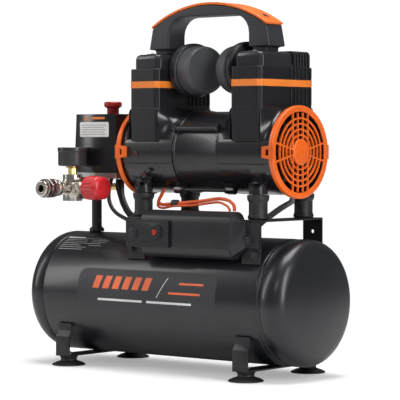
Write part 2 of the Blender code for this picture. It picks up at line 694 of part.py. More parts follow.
def build_filters():
    """Round intake filters between the heads, each on a stub from its head."""
    sine, cosine = math.sin(FILTER_TURN), math.cos(FILTER_TURN)
    back = CYLINDER_AT - COWL_HALF_WIDTH - GAP - FILTER_RADIUS * sine
    wall = FILTER_WALL
    profile = [(STUB_RADIUS, 0), (FILTER_RADIUS - 2, 0), (FILTER_RADIUS, 2), (FILTER_RADIUS, FILTER_RING - 2)]
    profile += [(FILTER_RADIUS - 2, FILTER_RING), (FILTER_CAP_RADIUS, FILTER_RING)]
    profile += [(FILTER_CAP_RADIUS, FILTER_DEPTH - 4), (FILTER_CAP_RADIUS - 4, FILTER_DEPTH), (0, FILTER_DEPTH)]
    profile += [(0, FILTER_DEPTH - wall), (FILTER_CAP_RADIUS - 4 - wall, FILTER_DEPTH - wall)]
    profile += [(FILTER_CAP_RADIUS - wall, FILTER_RING), (FILTER_CAP_RADIUS - wall, wall), (STUB_RADIUS, wall)]
    head_side = CYLINDER_AT - HEAD_HALF_WIDTH - GAP
    for word, side in (("left", -1), ("right", 1)):
        can = moved(turned(profile), Matrix.Rotation(-math.pi / 2, 4, "Y"))
        can = at(moved(can, Matrix.Rotation(-FILTER_TURN, 4, "Z")), back, 0, 0)
        stub = on_shaft(cylinder(STUB_RADIUS + 1, head_side - back + 1, 16), back - 1)
        passage = on_shaft(cylinder(STUB_RADIUS - 2, head_side - back + 10, 12), back - 4)
        can = at(cut(joined(can, stub), passage), 0, 0, FILTER_ABOVE_AXIS)
        add_part(f"intake_filter_{word}", on_motor(can, side), (CHARCOAL, 0.5, 0))


def build_handle():
    """Arched carrying handle across both heads, with its orange top cover."""
    half = HANDLE_HALF_LENGTH
    leg_low = HEAD_TOP_Z + HANDLE_LEG_BOTTOM
    top = HEAD_TOP_Z + HANDLE_RISE
    radius = HANDLE_TOP_RADIUS
    frame_radius = radius - COVER_THICKNESS - GAP
    centre = (HANDLE_X, top - radius)
    lean = math.degrees(math.asin(half / radius))
    inner_x = half - HANDLE_LEG_WIDTH
    inner_top = top - GRIP_THICKNESS
    outline = arc(centre, frame_radius, 90 - lean, 90 + lean, 16)
    foot = half + HANDLE_FLARE
    outline += [(HANDLE_X - foot, leg_low), (HANDLE_X - inner_x, leg_low)]
    outline += arc((HANDLE_X - inner_x + GRIP_CORNER, inner_top - GRIP_CORNER), GRIP_CORNER, 180, 90, 5)
    outline += arc((HANDLE_X + inner_x - GRIP_CORNER, inner_top - GRIP_CORNER), GRIP_CORNER, 90, 0, 5)
    outline += [(HANDLE_X + inner_x, leg_low), (HANDLE_X + foot, leg_low)]
    frame = side_prism(outline, 2 * HANDLE_HALF_DEPTH)
    inset = COLLAR_INSET
    for side in (-1, 1):
        near, far = sorted((side * (inner_x + inset), side * (half - inset)))
        collar = block((near, inset - HANDLE_HALF_DEPTH, HEAD_TOP_Z + GAP),
                       (far, HANDLE_HALF_DEPTH - inset, leg_low + 2))
        frame = joined(frame, at(collar, HANDLE_X, 0, 0))
    add_part("handle_frame", frame, (CHARCOAL, 0.45, 0))
    band = arc(centre, radius, 90 - lean, 90 + lean, 16)
    band += arc(centre, radius - COVER_THICKNESS, 90 + lean, 90 - lean, 16)
    add_part("handle_cover", side_prism(band, 2 * HANDLE_HALF_DEPTH), (ORANGE, 0.4, 0))


def slot_outline(inner, outer, start, end, steps=3):
    """Curved slot between two radii and two angles."""
    return arc((0, 0), outer, start, end, steps) + arc((0, 0), inner, end, start, steps)


def build_fans():
    """Cooling fans on the shaft ends and the grilles that cover them."""
    centre = (MOTOR_X, 0, MOTOR_Z)
    blades = []
    for blade in range(FAN_BLADES):
        middle = 360 * blade / FAN_BLADES
        blades += arc((0, 0), FAN_RADIUS, middle - 2.5, middle + 2.5, 1)
        blades += arc((0, 0), FAN_HUB, middle + 12, middle + 360 / FAN_BLADES - 12, 1)
    slots = []
    for inner, outer in ((20, 29), (32, 40), (43, 50)):
        for middle in (0, 180):
            slots.append(slot_outline(inner, outer, middle - 60, middle - 8))
            slots.append(slot_outline(inner, outer, middle + 8, middle + 60))
    for inner, outer in ((22, 34), (37, 50)):
        for middle in (90, 270):
            slots += [slot_outline(inner, outer, middle + a, middle + a + 9, 1) for a in (-20, -5, 10)]
    for word, side in (("left", -1), ("right", 1)):
        wheel = prism(blades, FAN_WIDTH, [circle(SHAFT_RADIUS + GAP)])
        wheel = at(upright(wheel), FAN_INNER, 0, 0)
        add_part(f"fan_{word}", on_motor(wheel, side), (RUBBER, 0.5, 0), centre)
        plate = prism(circle(GRILLE_RADIUS, LARGE_ROUND), GRILLE_THICKNESS, slots)
        plate = at(upright(plate), DRUM_END + GAP, 0, 0)
        rim = on_shaft(pipe(DRUM_RADIUS + GAP, GRILLE_RADIUS, GRILLE_RIM + 1, LARGE_ROUND), DRUM_END + GAP - GRILLE_RIM)
        grille = joined(plate, rim)
        for y_side in (-1, 1):
            near, far = sorted((y_side * (DRUM_RADIUS + GAP), y_side * (DRUM_RADIUS + GAP + GRILLE_TAB_WALL)))
            tab_start = DRUM_END - GRILLE_TAB_REACH
            tab = block((tab_start, near, -GRILLE_TAB_HALF), (DRUM_END, far, GRILLE_TAB_HALF))
            window = block((tab_start + 4, near - 2, -3), (tab_start + 7, far + 2, 3))
            grille = joined(grille, cut(tab, window))
        add_part(f"grille_{word}", on_motor(grille, side), (ORANGE, 0.4, 0))


# ---------------------------------------------------------------- electrical box

def build_box():
    """Moulded box on the brackets' front, holding the run capacitor and the overload switch."""
    top = TANK_TOP + BOX_TOP_RISE
    low = top - BOX_HEIGHT
    back = BOX_FRONT - BOX_DEPTH
    section = rounded_rectangle(-BOX_FRONT, low, -back, top, BOX_ROUNDING, 4)
    wall = BOX_WALL
    hollow = rounded_rectangle(wall - BOX_FRONT, low + wall, -back - wall, top - wall, BOX_ROUNDING - wall, 4)
    middle = (top + low) / 2
    face = BRACKET_HALF_DEPTH + GAP
    ear_low, ear_high = middle - 14, middle + 17
    right_bracket = BRACKET_X[1] + BRACKET_WIDTH / 2
    shell = at(end_prism(section, BOX_RIGHT - BOX_LEFT), BOX_LEFT, 0, 0)
    shrunk = [(BOX_RIGHT - 1, y, z) for y, z in section[::2] if y < -face]
    taper = [(right_bracket - 20, y, z) for y in (-face - 4, -face) for z in (ear_low, ear_high)]
    ear = block((BOX_RIGHT - 1, -face - 4, ear_low), (right_bracket, -face, ear_high))
    shell = joined(shell, hull(shrunk + taper), ear)
    inside = at(end_prism(hollow, BOX_RIGHT - BOX_LEFT - wall), BOX_LEFT - 1, 0, 0)
    add_part("electrical_box", cut(shell, inside), (CHARCOAL, 0.5, 0))

    lid_left = BRACKET_X[0] + 3
    front, behind = -BOX_FRONT - GAP - LID_THICKNESS, -BOX_FRONT - GAP
    foot = min(lid_left + LID_FOOT, BOX_LEFT - GAP)
    plan = [(lid_left, front), (LID_RIGHT, front), (LID_RIGHT, behind), (foot, behind), (foot, -face), (lid_left, -face)]
    lid = at(prism(plan, LID_HEIGHT), 0, 0, middle - LID_HEIGHT / 2)
    reset_z = middle + 2
    collar = along_y(cylinder(RESET_COLLAR, LID_THICKNESS + 2, 24))
    lid = joined(lid, at(collar, RESET_X, front - 3, reset_z))
    hole = along_y(cylinder(RESET_RADIUS + GAP, 20, 20))
    lid = cut(lid, at(hole, RESET_X, front - 8, reset_z))
    add_part("electrical_box_lid", lid, (CHARCOAL, 0.5, 0))
    length = 3 + LID_THICKNESS + 1.5 - RESET_TRAVEL
    button = at(along_y(cylinder(RESET_RADIUS, length, 20)), RESET_X, front - 4.5, reset_z)
    add_part("reset_button", button, (RED, 0.4, 0), (RESET_X, front, reset_z))
    can = along_x(cylinder(CAPACITOR_RADIUS, CAPACITOR_LENGTH, 24))
    can = at(can, BOX_LEFT + 25, -BOX_FRONT + BOX_DEPTH / 2, middle)
    add_part("capacitor", can, ((0.7, 0.7, 0.68), 0.5, 0))


# ---------------------------------------------------------------- air outlet side

def build_switch():
    """Stand pipe, pressure switch with its manifold block, and the pull button."""
    top = PIPE_HEIGHT
    profile = [(PIPE_BORE, GAP), (PIPE_FLANGE_RADIUS, GAP), (PIPE_FLANGE_RADIUS, 4), (PIPE_RADIUS, 7)]
    profile += [(PIPE_RADIUS, top), (PIPE_BORE, top)]
    add_part("stand_pipe", at(turned(profile, 24), PIPE_X, 0, TANK_TOP), (CHARCOAL, 0.35, 0.6))
    plate_top = SWITCH_BASE_TOP
    plate_low = plate_top - SWITCH_BASE_THICKNESS
    back = SWITCH_DEPTH - SWITCH_FRONT
    right = SWITCH_LEFT + SWITCH_WIDTH
    foot = rounded_rectangle(SWITCH_LEFT - SWITCH_DRAFT, -SWITCH_FRONT, right, back, SWITCH_ROUNDING, 2)
    crown = rounded_rectangle(SWITCH_LEFT, -SWITCH_FRONT, right, back, SWITCH_ROUNDING, 2)
    plate = at(prism(foot, SWITCH_BASE_THICKNESS), 0, 0, plate_low)
    half = MANIFOLD_HALF
    manifold = block((PIPE_X - half, -half, plate_low - MANIFOLD_HEIGHT), (PIPE_X + half, half, plate_low + 2))
    add_part("pressure_switch_base", joined(plate, manifold), (CASTING, 0.4, 0.9))
    cover_low = plate_top + GAP
    shell = hull([(x, y, cover_low) for x, y in foot] + [(x, y, cover_low + SWITCH_HEIGHT) for x, y in crown])
    wall = SWITCH_WALL
    inner = rounded_rectangle(SWITCH_LEFT + wall, wall - SWITCH_FRONT, right - wall, back - wall, 2, 2)
    inside = at(prism(inner, SWITCH_HEIGHT - wall + 2), 0, 0, plate_top + GAP - 2)
    button_y = (back - SWITCH_FRONT) / 2
    hole = at(cylinder(BUTTON_RADIUS + GAP, 20, 24), BUTTON_X, button_y, plate_top + SWITCH_HEIGHT - 10)
    add_part("pressure_switch_cover", cut(shell, inside, hole), (CHARCOAL, 0.45, 0))
    shell_top = plate_top + GAP + SWITCH_HEIGHT
    profile = [(0, -12), (BUTTON_RADIUS, -12), (BUTTON_RADIUS, BUTTON_RISE - 5), (BUTTON_CAP_RADIUS, BUTTON_RISE - 4)]
    profile += [(BUTTON_CAP_RADIUS, BUTTON_RISE), (0, BUTTON_RISE)]
    button = at(turned(profile, 24), BUTTON_X, button_y, shell_top)
    add_part("power_button", button, (RED, 0.4, 0), (BUTTON_X, button_y, shell_top))


def build_regulator():
    """Regulator body in front of the manifold, its knob, and the gauge on top."""
    y, z = -REGULATOR_FORWARD, REGULATOR_Z
    height = REGULATOR_HEIGHT
    body = at(cylinder(REGULATOR_RADIUS, height, 24), PIPE_X, y, z - height / 2)
    nipple_length = REGULATOR_FORWARD - MANIFOLD_HALF - GAP
    nipple = at(along_y(cylinder(7, nipple_length, 16)), PIPE_X, y, z)
    outlet = at(along_y(cylinder(8, REGULATOR_RADIUS + 1, 16)), PIPE_X, -COUPLER_ROOT, z)
    nut = at(along_x(cylinder(HEX_RADIUS, HEX_REACH, 6)), PIPE_X, y, z)
    body = joined(body, nipple, outlet, nut)
    add_part("regulator_body", body, (STEEL, 0.25, 1.0))
    steps = 2 * KNOB_RIBS
    outline = []
    for i in range(steps):
        angle = 2 * math.pi * i / steps
        radius = KNOB_RADIUS - (1.0 if i % 2 else 0)
        outline.append((radius * math.cos(angle), radius * math.sin(angle)))
    knob_at = PIPE_X + HEX_REACH + GAP
    knob = at(end_prism(outline, KNOB_LENGTH), knob_at, y, z)
    add_part("regulator_knob", knob, (RED, 0.4, 0), (knob_at, y, z))
    stem_low = z + height / 2 + GAP
    low = stem_low + GAUGE_STEM
    top = low + GAUGE_HEIGHT
    well = top - GAUGE_WELL
    inner = GAUGE_RADIUS - 2.5
    profile = [(0, stem_low), (4, stem_low), (4, low), (GAUGE_RADIUS - 1, low), (GAUGE_RADIUS, low + 1)]
    profile += [(GAUGE_RADIUS, top - 1), (GAUGE_RADIUS - 1, top), (inner, top), (inner, well), (0, well)]
    add_part("gauge", at(turned(profile), PIPE_X, y, 0), (CHARCOAL, 0.4, 0))
    needle = cylinder(1.6, 1.4, 12)
    pointer = at(prism([(0, -0.9), (0, 0.9), (-NEEDLE_LENGTH, 0)], 0.6), 0, 0, 0.4)
    needle = joined(needle, moved(pointer, Matrix.Rotation(math.radians(-45), 4, "Z")))
    needle = at(needle, PIPE_X, y, well + GAP)
    add_part("gauge_needle", needle, (RUBBER, 0.5, 0), (PIPE_X, y, well + GAP))


def build_coupler():
    """Quick coupler on the regulator's outlet, with its sprung sleeve."""
    root = -COUPLER_ROOT - GAP
    length = COUPLER_LENGTH
    lip = length - COUPLER_LIP
    back = lip - SLEEVE_LENGTH - GAP
    collar = back - SLEEVE_TRAVEL - GAP
    profile = [(0, 0), (9.5, 0), (9.5, 8), (7, 9), (7, collar - 5), (COUPLER_RADIUS + 2, collar - 4)]
    profile += [(COUPLER_RADIUS + 2, collar), (COUPLER_RADIUS, collar), (COUPLER_RADIUS, lip)]
    profile += [(COUPLER_RADIUS + 1.5, lip), (COUPLER_RADIUS + 1.5, length - 1), (COUPLER_RADIUS + 0.5, length)]
    profile += [(COUPLER_BORE, length), (COUPLER_BORE, 14), (0, 14)]
    turn = Matrix.Rotation(math.pi / 2, 4, "X")
    place = Matrix.Translation((PIPE_X, root, REGULATOR_Z))
    add_part("coupler_body", moved(turned(profile), place @ turn), (STEEL, 0.25, 1.0))
    inner = COUPLER_RADIUS + GAP
    low, high = back, back + SLEEVE_LENGTH
    profile = [(inner, low), (SLEEVE_RADIUS - 1, low), (SLEEVE_RADIUS, low + 1), (SLEEVE_RADIUS, high - 1)]
    profile += [(SLEEVE_RADIUS - 1, high), (inner, high)]
    sleeve = moved(turned(profile), place @ turn)
    add_part("coupler_sleeve", sleeve, (STEEL, 0.3, 1.0), (PIPE_X, root - low, REGULATOR_Z))


def build_valves():
    """Safety valve behind the manifold, check valve and drain cock on the tank."""
    start = MANIFOLD_HALF + GAP
    z = REGULATOR_Z
    profile = [(0, 0), (SAFETY_RADIUS, 0), (SAFETY_RADIUS, 8), (SAFETY_RADIUS - 2, 9)]
    profile += [(SAFETY_RADIUS - 2, SAFETY_LENGTH), (2 + GAP, SAFETY_LENGTH), (2 + GAP, 12), (0, 12)]
    place = Matrix.Translation((PIPE_X, start, z)) @ Matrix.Rotation(-math.pi / 2, 4, "X")
    add_part("safety_valve", moved(turned(profile, 20), place), ((0.7, 0.5, 0.2), 0.35, 1.0))
    ring = end_prism(circle(RING_RADIUS + 1.5, 20), 2)
    ring = at(cut(ring, at(end_prism(circle(RING_RADIUS - 1, 20), 6), -2, 0, 0)), -1, RING_RADIUS + 1, 0)
    pin = at(along_y(cylinder(2, 14, 12)), 0, -13.5, 0)
    eye = at(joined(ring, pin), PIPE_X, start + SAFETY_LENGTH + 1, z)
    add_part("safety_valve_ring", eye, (STEEL, 0.3, 1.0), (PIPE_X, start + SAFETY_LENGTH, z))
    radius = CHECK_VALVE_RADIUS
    profile = [(0, GAP), (radius, GAP), (radius, 12), (radius - 3, 14)]
    profile += [(radius - 3, CHECK_VALVE_HEIGHT), (0, CHECK_VALVE_HEIGHT)]
    add_part("check_valve", at(turned(profile, 6), CHECK_VALVE_X, 0, TANK_TOP), ((0.7, 0.5, 0.2), 0.35, 1.0))
    tilt = Matrix.Rotation(-math.pi / 2 - DRAIN_TILT, 4, "X")
    place = Matrix.Translation((0, 0, TANK_Z)) @ tilt
    start = TANK_RADIUS + GAP
    body = at(cylinder(DRAIN_RADIUS, DRAIN_LENGTH, 6), 0, 0, start)
    add_part("drain_valve", moved(body, place), ((0.7, 0.5, 0.2), 0.35, 1.0))
    knob = at(cylinder(DRAIN_KNOB_RADIUS, DRAIN_KNOB_LENGTH, 12), 0, 0, start + DRAIN_LENGTH + GAP)
    centre = place @ Vector((0, 0, start + DRAIN_LENGTH + GAP))
    add_part("drain_knob", moved(knob, place), ((0.7, 0.5, 0.2), 0.35, 1.0), tuple(centre))


def build_hoses():
    """Delivery hose from the pump to the check valve, and the two cables."""
    valve_side = CHECK_VALVE_X + CHECK_VALVE_RADIUS + HOSE_RADIUS / 2
    hose = [(valve_side, 0, TANK_TOP + 7), (110, 1, TANK_TOP + 9), (124, 6, TANK_TOP + 22)]
    under_pump = MOTOR_Z - math.sqrt(DRUM_RADIUS ** 2 - (22 - HOSE_RADIUS) ** 2) - 2 * GAP
    hose += [(142, 16, TANK_TOP + 37), (156, 22, TANK_TOP + 46), (157, 22, under_pump)]
    add_cord("delivery_hose", hose, HOSE_RADIUS, ((0.3, 0.3, 0.3), 0.5, 0.4))
    cable_top = SWITCH_BASE_TOP - SWITCH_BASE_THICKNESS - 2 * GAP
    cable = [(-112, -8, cable_top), (-112, -8, cable_top - 12), (-99, -14, 215), (-78, -20, 196)]
    cable += [(-52, -22, 186), (-25, -25, 184), (-4, -31, 184), (8, -38, 182.5)]
    cable += [(12, -45, 182), (12, GAP * 2 + BOX_DEPTH - BOX_FRONT, 182)]
    add_cord("switch_cable", cable, CABLE_RADIUS, (RUBBER, 0.5, 0))
    lead = [(-12, -30, 236), (-13, -34, 228), (-8, -47, 219), (8, -55, 216), (32, -60, 218.5)]
    lead += [(46, -60, 219), (76, -60, 222), (104, -60, 225.5), (122, -62, 223)]
    lead += [(131, -65.5, 219), (133, -66, 215), (133, -66, TANK_TOP + BOX_TOP_RISE + 2 * GAP)]
    add_cord("motor_lead", lead, LEAD_RADIUS, (ORANGE, 0.5, 0))


for old in list(bpy.data.objects):
    bpy.data.objects.remove(old, do_unlink=True)
origin_marker = bpy.data.objects.new("compressor_origin", None)
bpy.context.collection.objects.link(origin_marker)
origin_marker.location = (0, Y_SHIFT * 0.001, 0)

build_tank()
build_feet()
build_brackets()
build_motor()
build_crankcases()
build_pistons()
build_heads()
build_filters()
build_handle()
build_fans()
build_box()
build_switch()
build_regulator()
build_coupler()
build_valves()
build_hoses()
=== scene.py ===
"""Looks of a small oil-free air compressor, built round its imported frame. Sizes are in millimetres."""
import math

import bmesh
import bpy
from mathutils import Matrix, Vector
from mathutils.bvhtree import BVHTree


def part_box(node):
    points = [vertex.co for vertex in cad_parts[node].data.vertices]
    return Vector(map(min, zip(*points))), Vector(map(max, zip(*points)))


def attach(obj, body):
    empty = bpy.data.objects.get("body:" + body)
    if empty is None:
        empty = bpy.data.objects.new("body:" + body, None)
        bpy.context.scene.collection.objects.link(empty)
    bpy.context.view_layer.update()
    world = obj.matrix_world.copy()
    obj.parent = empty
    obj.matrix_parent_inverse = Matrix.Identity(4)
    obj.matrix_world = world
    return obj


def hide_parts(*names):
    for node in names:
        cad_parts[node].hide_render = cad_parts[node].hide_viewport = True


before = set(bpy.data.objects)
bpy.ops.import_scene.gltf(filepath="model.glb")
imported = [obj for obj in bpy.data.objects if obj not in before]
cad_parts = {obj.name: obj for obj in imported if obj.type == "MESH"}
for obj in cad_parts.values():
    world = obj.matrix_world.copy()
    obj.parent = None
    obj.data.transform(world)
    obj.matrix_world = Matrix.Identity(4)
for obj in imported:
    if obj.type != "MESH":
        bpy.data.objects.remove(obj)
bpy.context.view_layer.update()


# ---------------------------------------------------------------- tank
# The air receiver: a rolled steel barrel with a pressed, welded end at each side, powder coated in satin
# charcoal. The ends slip over a joggle in the barrel, which leaves a double line round the seam.

class Socket:
    """One output in a finish's node tree, used in plain arithmetic."""

    def __init__(self, tree, link=None):
        self.tree = tree
        self.link = link

    def make(self, kind, settings=None, sockets=None, output=0):
        """Add a node: its settings first, then the values or links of its sockets."""
        node = self.tree.nodes.new(kind)
        for name, value in (settings or {}).items():
            setattr(node, name, value)
        for name, value in (sockets or {}).items():
            if isinstance(value, Socket):
                self.tree.links.new(value.link, node.inputs[name])
            else:
                node.inputs[name].default_value = value
        return Socket(self.tree, node.outputs[output])

    def math(self, operation, first, second):
        return self.make("ShaderNodeMath", {"operation": operation}, {0: first, 1: second})

    def __add__(self, other):
        return self.math("ADD", self, other)

    def __sub__(self, other):
        return self.math("SUBTRACT", self, other)

    def __rsub__(self, other):
        return self.math("SUBTRACT", other, self)

    def __mul__(self, other):
        return self.math("MULTIPLY", self, other)

    def __truediv__(self, other):
        return self.math("DIVIDE", self, other)

    __radd__ = __add__
    __rmul__ = __mul__

    def held(self):
        """The same value, kept between 0 and 1."""
        return self.make("ShaderNodeClamp", None, {"Value": self})

    def tint(self, under, over):
        """Colour that goes from under to over as this value goes from 0 to 1."""
        return self.make("ShaderNodeMix", {"data_type": "RGBA"}, {0: self, 6: under, 7: over}, 2)

    def noise(self, scale, detail=2.0, stretch=(1.0, 1.0, 1.0)):
        """Noise over these places, with scale in cycles per metre."""
        stretched = self.make("ShaderNodeMapping", None, {"Vector": self, "Scale": stretch})
        return self.make("ShaderNodeTexNoise", None, {"Vector": stretched, "Scale": scale, "Detail": detail})

    def feed(self, shader, name):
        self.tree.links.new(self.link, shader.inputs[name])


def surface(name, colour, roughness, grain, depth, metallic=0.0, coat=0.0, rub=0.35, stretch=(1.0, 1.0, 1.0)):
    """Finish with cloudy colour, a fine grain of that scale and depth, and edges rubbed brighter."""
    cloud_scale, wear_scale, edge_radius, contrast = 24.0, 180.0, 0.0008, 0.14
    material = bpy.data.materials.new(name)
    material.use_nodes = True
    tree = material.node_tree
    shader = tree.nodes["Principled BSDF"]
    shader.inputs["Metallic"].default_value = metallic
    shader.inputs["Coat Weight"].default_value = coat
    shader.inputs["Coat Roughness"].default_value = 0.12
    places = Socket(tree).make("ShaderNodeTexCoord", output="Object")
    cloud = places.noise(cloud_scale, 3.0)
    fine = places.noise(grain, 2.0, stretch)
    soft_edge = places.make("ShaderNodeBevel", {"samples": 4}, {"Radius": edge_radius})
    flat = places.make("ShaderNodeNewGeometry", output="Normal")
    normals = {0: soft_edge, 1: flat}
    alike = places.make("ShaderNodeVectorMath", {"operation": "DOT_PRODUCT"}, normals, "Value")
    rubbed = ((1 - alike) * 4 * places.noise(wear_scale) * rub).held()
    dark = (*[part * (1 - contrast) for part in colour], 1)
    light = (*[min(part * (1 + contrast), 1) for part in colour], 1)
    bright = (*[min(part * 1.5 + 0.05, 1) for part in colour], 1)
    rubbed.tint(((cloud - 0.3) * 2.5).held().tint(dark, light), bright).feed(shader, "Base Color")
    (roughness + 0.07 * (cloud - 0.5) + 0.08 * (fine - 0.5)).held().feed(shader, "Roughness")
    bump = {"Strength": 0.35, "Distance": depth, "Height": fine, "Normal": soft_edge}
    places.make("ShaderNodeBump", None, bump).feed(shader, "Normal")
    return material


def eased(points, radius, closed=False, steps=3):
    """The same outline with its corners rounded off."""
    result = []
    for i, point in enumerate(points):
        if not closed and i in (0, len(points) - 1):
            result.append(tuple(point))
            continue
        here, before, after = Vector(point), Vector(points[i - 1]), Vector(points[(i + 1) % len(points)])
        reach = min(radius, 0.45 * (before - here).length, 0.45 * (after - here).length)
        start = here + (before - here).normalized() * reach
        end = here + (after - here).normalized() * reach
        for step in range(steps + 1):
            t = step / steps
            result.append(tuple(start * (1 - t) ** 2 + here * 2 * t * (1 - t) + end * t * t))
    return result


def facing(centre, normal, up=(0, 0, 1)):
    """Place whose Z points along normal, with its Y as near to up as it can be."""
    z = Vector(normal).normalized()
    x = Vector(up).cross(z).normalized()
    turn = Matrix((x, z.cross(x), z)).transposed()
    return Matrix.Translation(centre) @ turn.to_4x4()


def lathe(profile, centre, axis, steps=72, flutes=0, flute_depth=0.0, fluted=None):
    """Solid turned from (distance along the axis, radius) points; its fluted stretch is grooved all round."""
    up = (0, 1, 0) if abs(Vector(axis).normalized().z) > 0.9 else (0, 0, 1)
    place = facing(centre, axis, up)
    shape = bmesh.new()
    rings = []
    for along, radius in profile:
        if radius < 1e-6:
            rings.append([shape.verts.new(place @ Vector((0, 0, along)))])
            continue
        ring = []
        for i in range(steps):
            angle = 2 * math.pi * i / steps
            here = radius
            if flutes and fluted[0] <= along <= fluted[1]:
                here -= flute_depth * (0.5 + 0.5 * math.cos(angle * flutes))
            spot = Vector((here * math.cos(angle), here * math.sin(angle), along))
            ring.append(shape.verts.new(place @ spot))
        rings.append(ring)
    for ring, following in zip(rings, rings[1:] + rings[:1]):
        for i in range(steps):
            j = (i + 1) % steps
            quad = [ring[i % len(ring)], ring[j % len(ring)]]
            quad += [following[j % len(following)], following[i % len(following)]]
            distinct = list(dict.fromkeys(quad))
            if len(distinct) > 2:
                shape.faces.new(distinct)
    return shape


tank_low, tank_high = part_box("tank_barrel")
tank_axis = Vector((0, (tank_low.y + tank_high.y) / 2, 0))
to_frame = Matrix.Translation(tank_axis) @ Matrix.Scale(0.001, 4)


def corners(node):
    """Lowest and highest corner of a CAD node in millimetres, with y counted from the tank's axis."""
    low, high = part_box(node)
    return (low - tank_axis) * 1000, (high - tank_axis) * 1000


def fit(name, shape, finish, nodes=(), bevel=0.0, smooth=40, body="frame"):
    """Make a piece from a shape in millimetres, with that edge bevel, and let it ride on its body."""
    bmesh.ops.recalc_face_normals(shape, faces=shape.faces)
    shape.transform(to_frame)
    mesh = bpy.data.meshes.new(name)
    shape.to_mesh(mesh)
    shape.free()
    mesh.shade_smooth()
    mesh.set_sharp_from_angle(angle=math.radians(smooth))
    mesh.materials.append(finish)
    piece = bpy.data.objects.new(name, mesh)
    bpy.context.scene.collection.objects.link(piece)
    if bevel:
        edge = piece.modifiers.new("edge", "BEVEL")
        edge.width = bevel * 0.001
        edge.segments = 3
        edge.limit_method = "ANGLE"
        edge.angle_limit = math.radians(30)
        edge.harden_normals = True
    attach(piece, body)
    if nodes:
        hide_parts(*nodes)
    return piece


tank_coat = surface("tank_coat", (0.0115, 0.0122, 0.0152), 0.33, 1100.0, 0.00004, coat=0.2)
low, high = corners("tank_barrel")
tank_radius = (high.z - low.z) / 2
tank_z = (high.z + low.z) / 2
seam_right, seam_left = high.x - 21, low.x + 11
groove = tank_radius - 0.9
barrel = [(seam_left, 0), (seam_left, groove), (seam_left + 2, tank_radius), (seam_right, tank_radius)]
barrel += [(seam_right + 1.5, groove), (seam_right + 4, groove), (seam_right + 5, tank_radius - 0.1)]
barrel += [(seam_right + 6, groove), (seam_right + 9, groove), (seam_right + 9, 0)]
fit("tank_barrel_coated", lathe(eased(barrel, 0.7), (0, 0, tank_z), (1, 0, 0), 144), tank_coat,
    ["tank_barrel"])


def pressed_end(skirt, reach, knuckle=20.0, steps=10):
    """Profile of a welded end: straight skirt, rounded knuckle, shallow crown."""
    depth = knuckle + 5.3
    knuckle_at = tank_radius - knuckle
    crown = (depth ** 2 - knuckle ** 2 + knuckle_at ** 2) / (2 * (depth - knuckle))
    sweep = math.asin(knuckle_at / (crown - knuckle))
    points = [(skirt, 0), (skirt, groove), (skirt + 1.5, tank_radius), (reach - depth, tank_radius)]
    for i in range(1, steps + 1):
        angle = (math.pi / 2 - sweep) * i / steps
        points.append((reach - depth + knuckle * math.sin(angle), knuckle_at + knuckle * math.cos(angle)))
    for i in range(1, steps + 1):
        angle = sweep * (1 - i / steps)
        points.append((reach - crown + crown * math.cos(angle), crown * math.sin(angle)))
    points[-1] = (reach, 0)
    return points


end_right = pressed_end(seam_right + 9.3, corners("tank_end_right")[1].x)
fit("tank_end_right_coated", lathe(end_right, (0, 0, tank_z), (1, 0, 0), 144), tank_coat,
    ["tank_end_right"])
end_left = pressed_end(-seam_left + 0.3, -corners("tank_end_left")[0].x)
fit("tank_end_left_coated", lathe(end_left, (0, 0, tank_z), (-1, 0, 0), 144), tank_coat,
    ["tank_end_left"])


# ---------------------------------------------------------------- tank label
# Printed film wrapped on the front of the barrel, with a plain motif of slanted bars and rules in place of
# words, and a dark data plate with ruled lines at the upper left.

def wrapped(rows, lift=0.12):
    """Thin film on the tank's front from rows of (degrees above its middle, left x, right x)."""
    shape = bmesh.new()
    lines = []
    radius = tank_radius + lift
    for degrees, left, right in rows:
        angle = math.radians(degrees)
        y, z = -radius * math.cos(angle), tank_z + radius * math.sin(angle)
        lines.append([shape.verts.new((left, y, z)), shape.verts.new((right, y, z))])
    for (a, b), (c, d) in zip(lines, lines[1:]):
        shape.faces.new((a, b, d, c))
    return shape


def slanted(left, right, low_angle, high_angle, slant, lift=0.3, steps=6):
    """Slanted bar on the tank's front."""
    rows = []
    for i in range(steps + 1):
        share = i / steps
        height = low_angle + (high_angle - low_angle) * share
        rows.append((height, left + slant * share, right + slant * share))
    return wrapped(rows, lift)


def gather(shapes):
    """Several shapes as one."""
    whole = bmesh.new()
    for shape in shapes:
        spare = bpy.data.meshes.new("spare")
        shape.to_mesh(spare)
        shape.free()
        whole.from_mesh(spare)
        bpy.data.meshes.remove(spare)
    return whole


def film_rows(left, right, low_angle, high_angle, corner, steps=8):
    """Rows of a wrapped film with round corners."""
    rows = []
    turn = math.degrees(corner / tank_radius)
    for start, direction in ((low_angle, 1), (high_angle, -1)):
        edge = []
        for i in range(steps + 1):
            share = i / steps
            inset = corner * (1 - math.sqrt(1 - (1 - share) ** 2))
            edge.append((start + direction * turn * share, left + inset, right - inset))
        rows += edge if direction > 0 else edge[::-1]
    between = 12
    gap_low, gap_high = low_angle + turn, high_angle - turn
    middle = [(gap_low + (gap_high - gap_low) * i / between, left, right) for i in range(1, between)]
    return rows[:steps + 1] + middle + rows[steps + 1:]


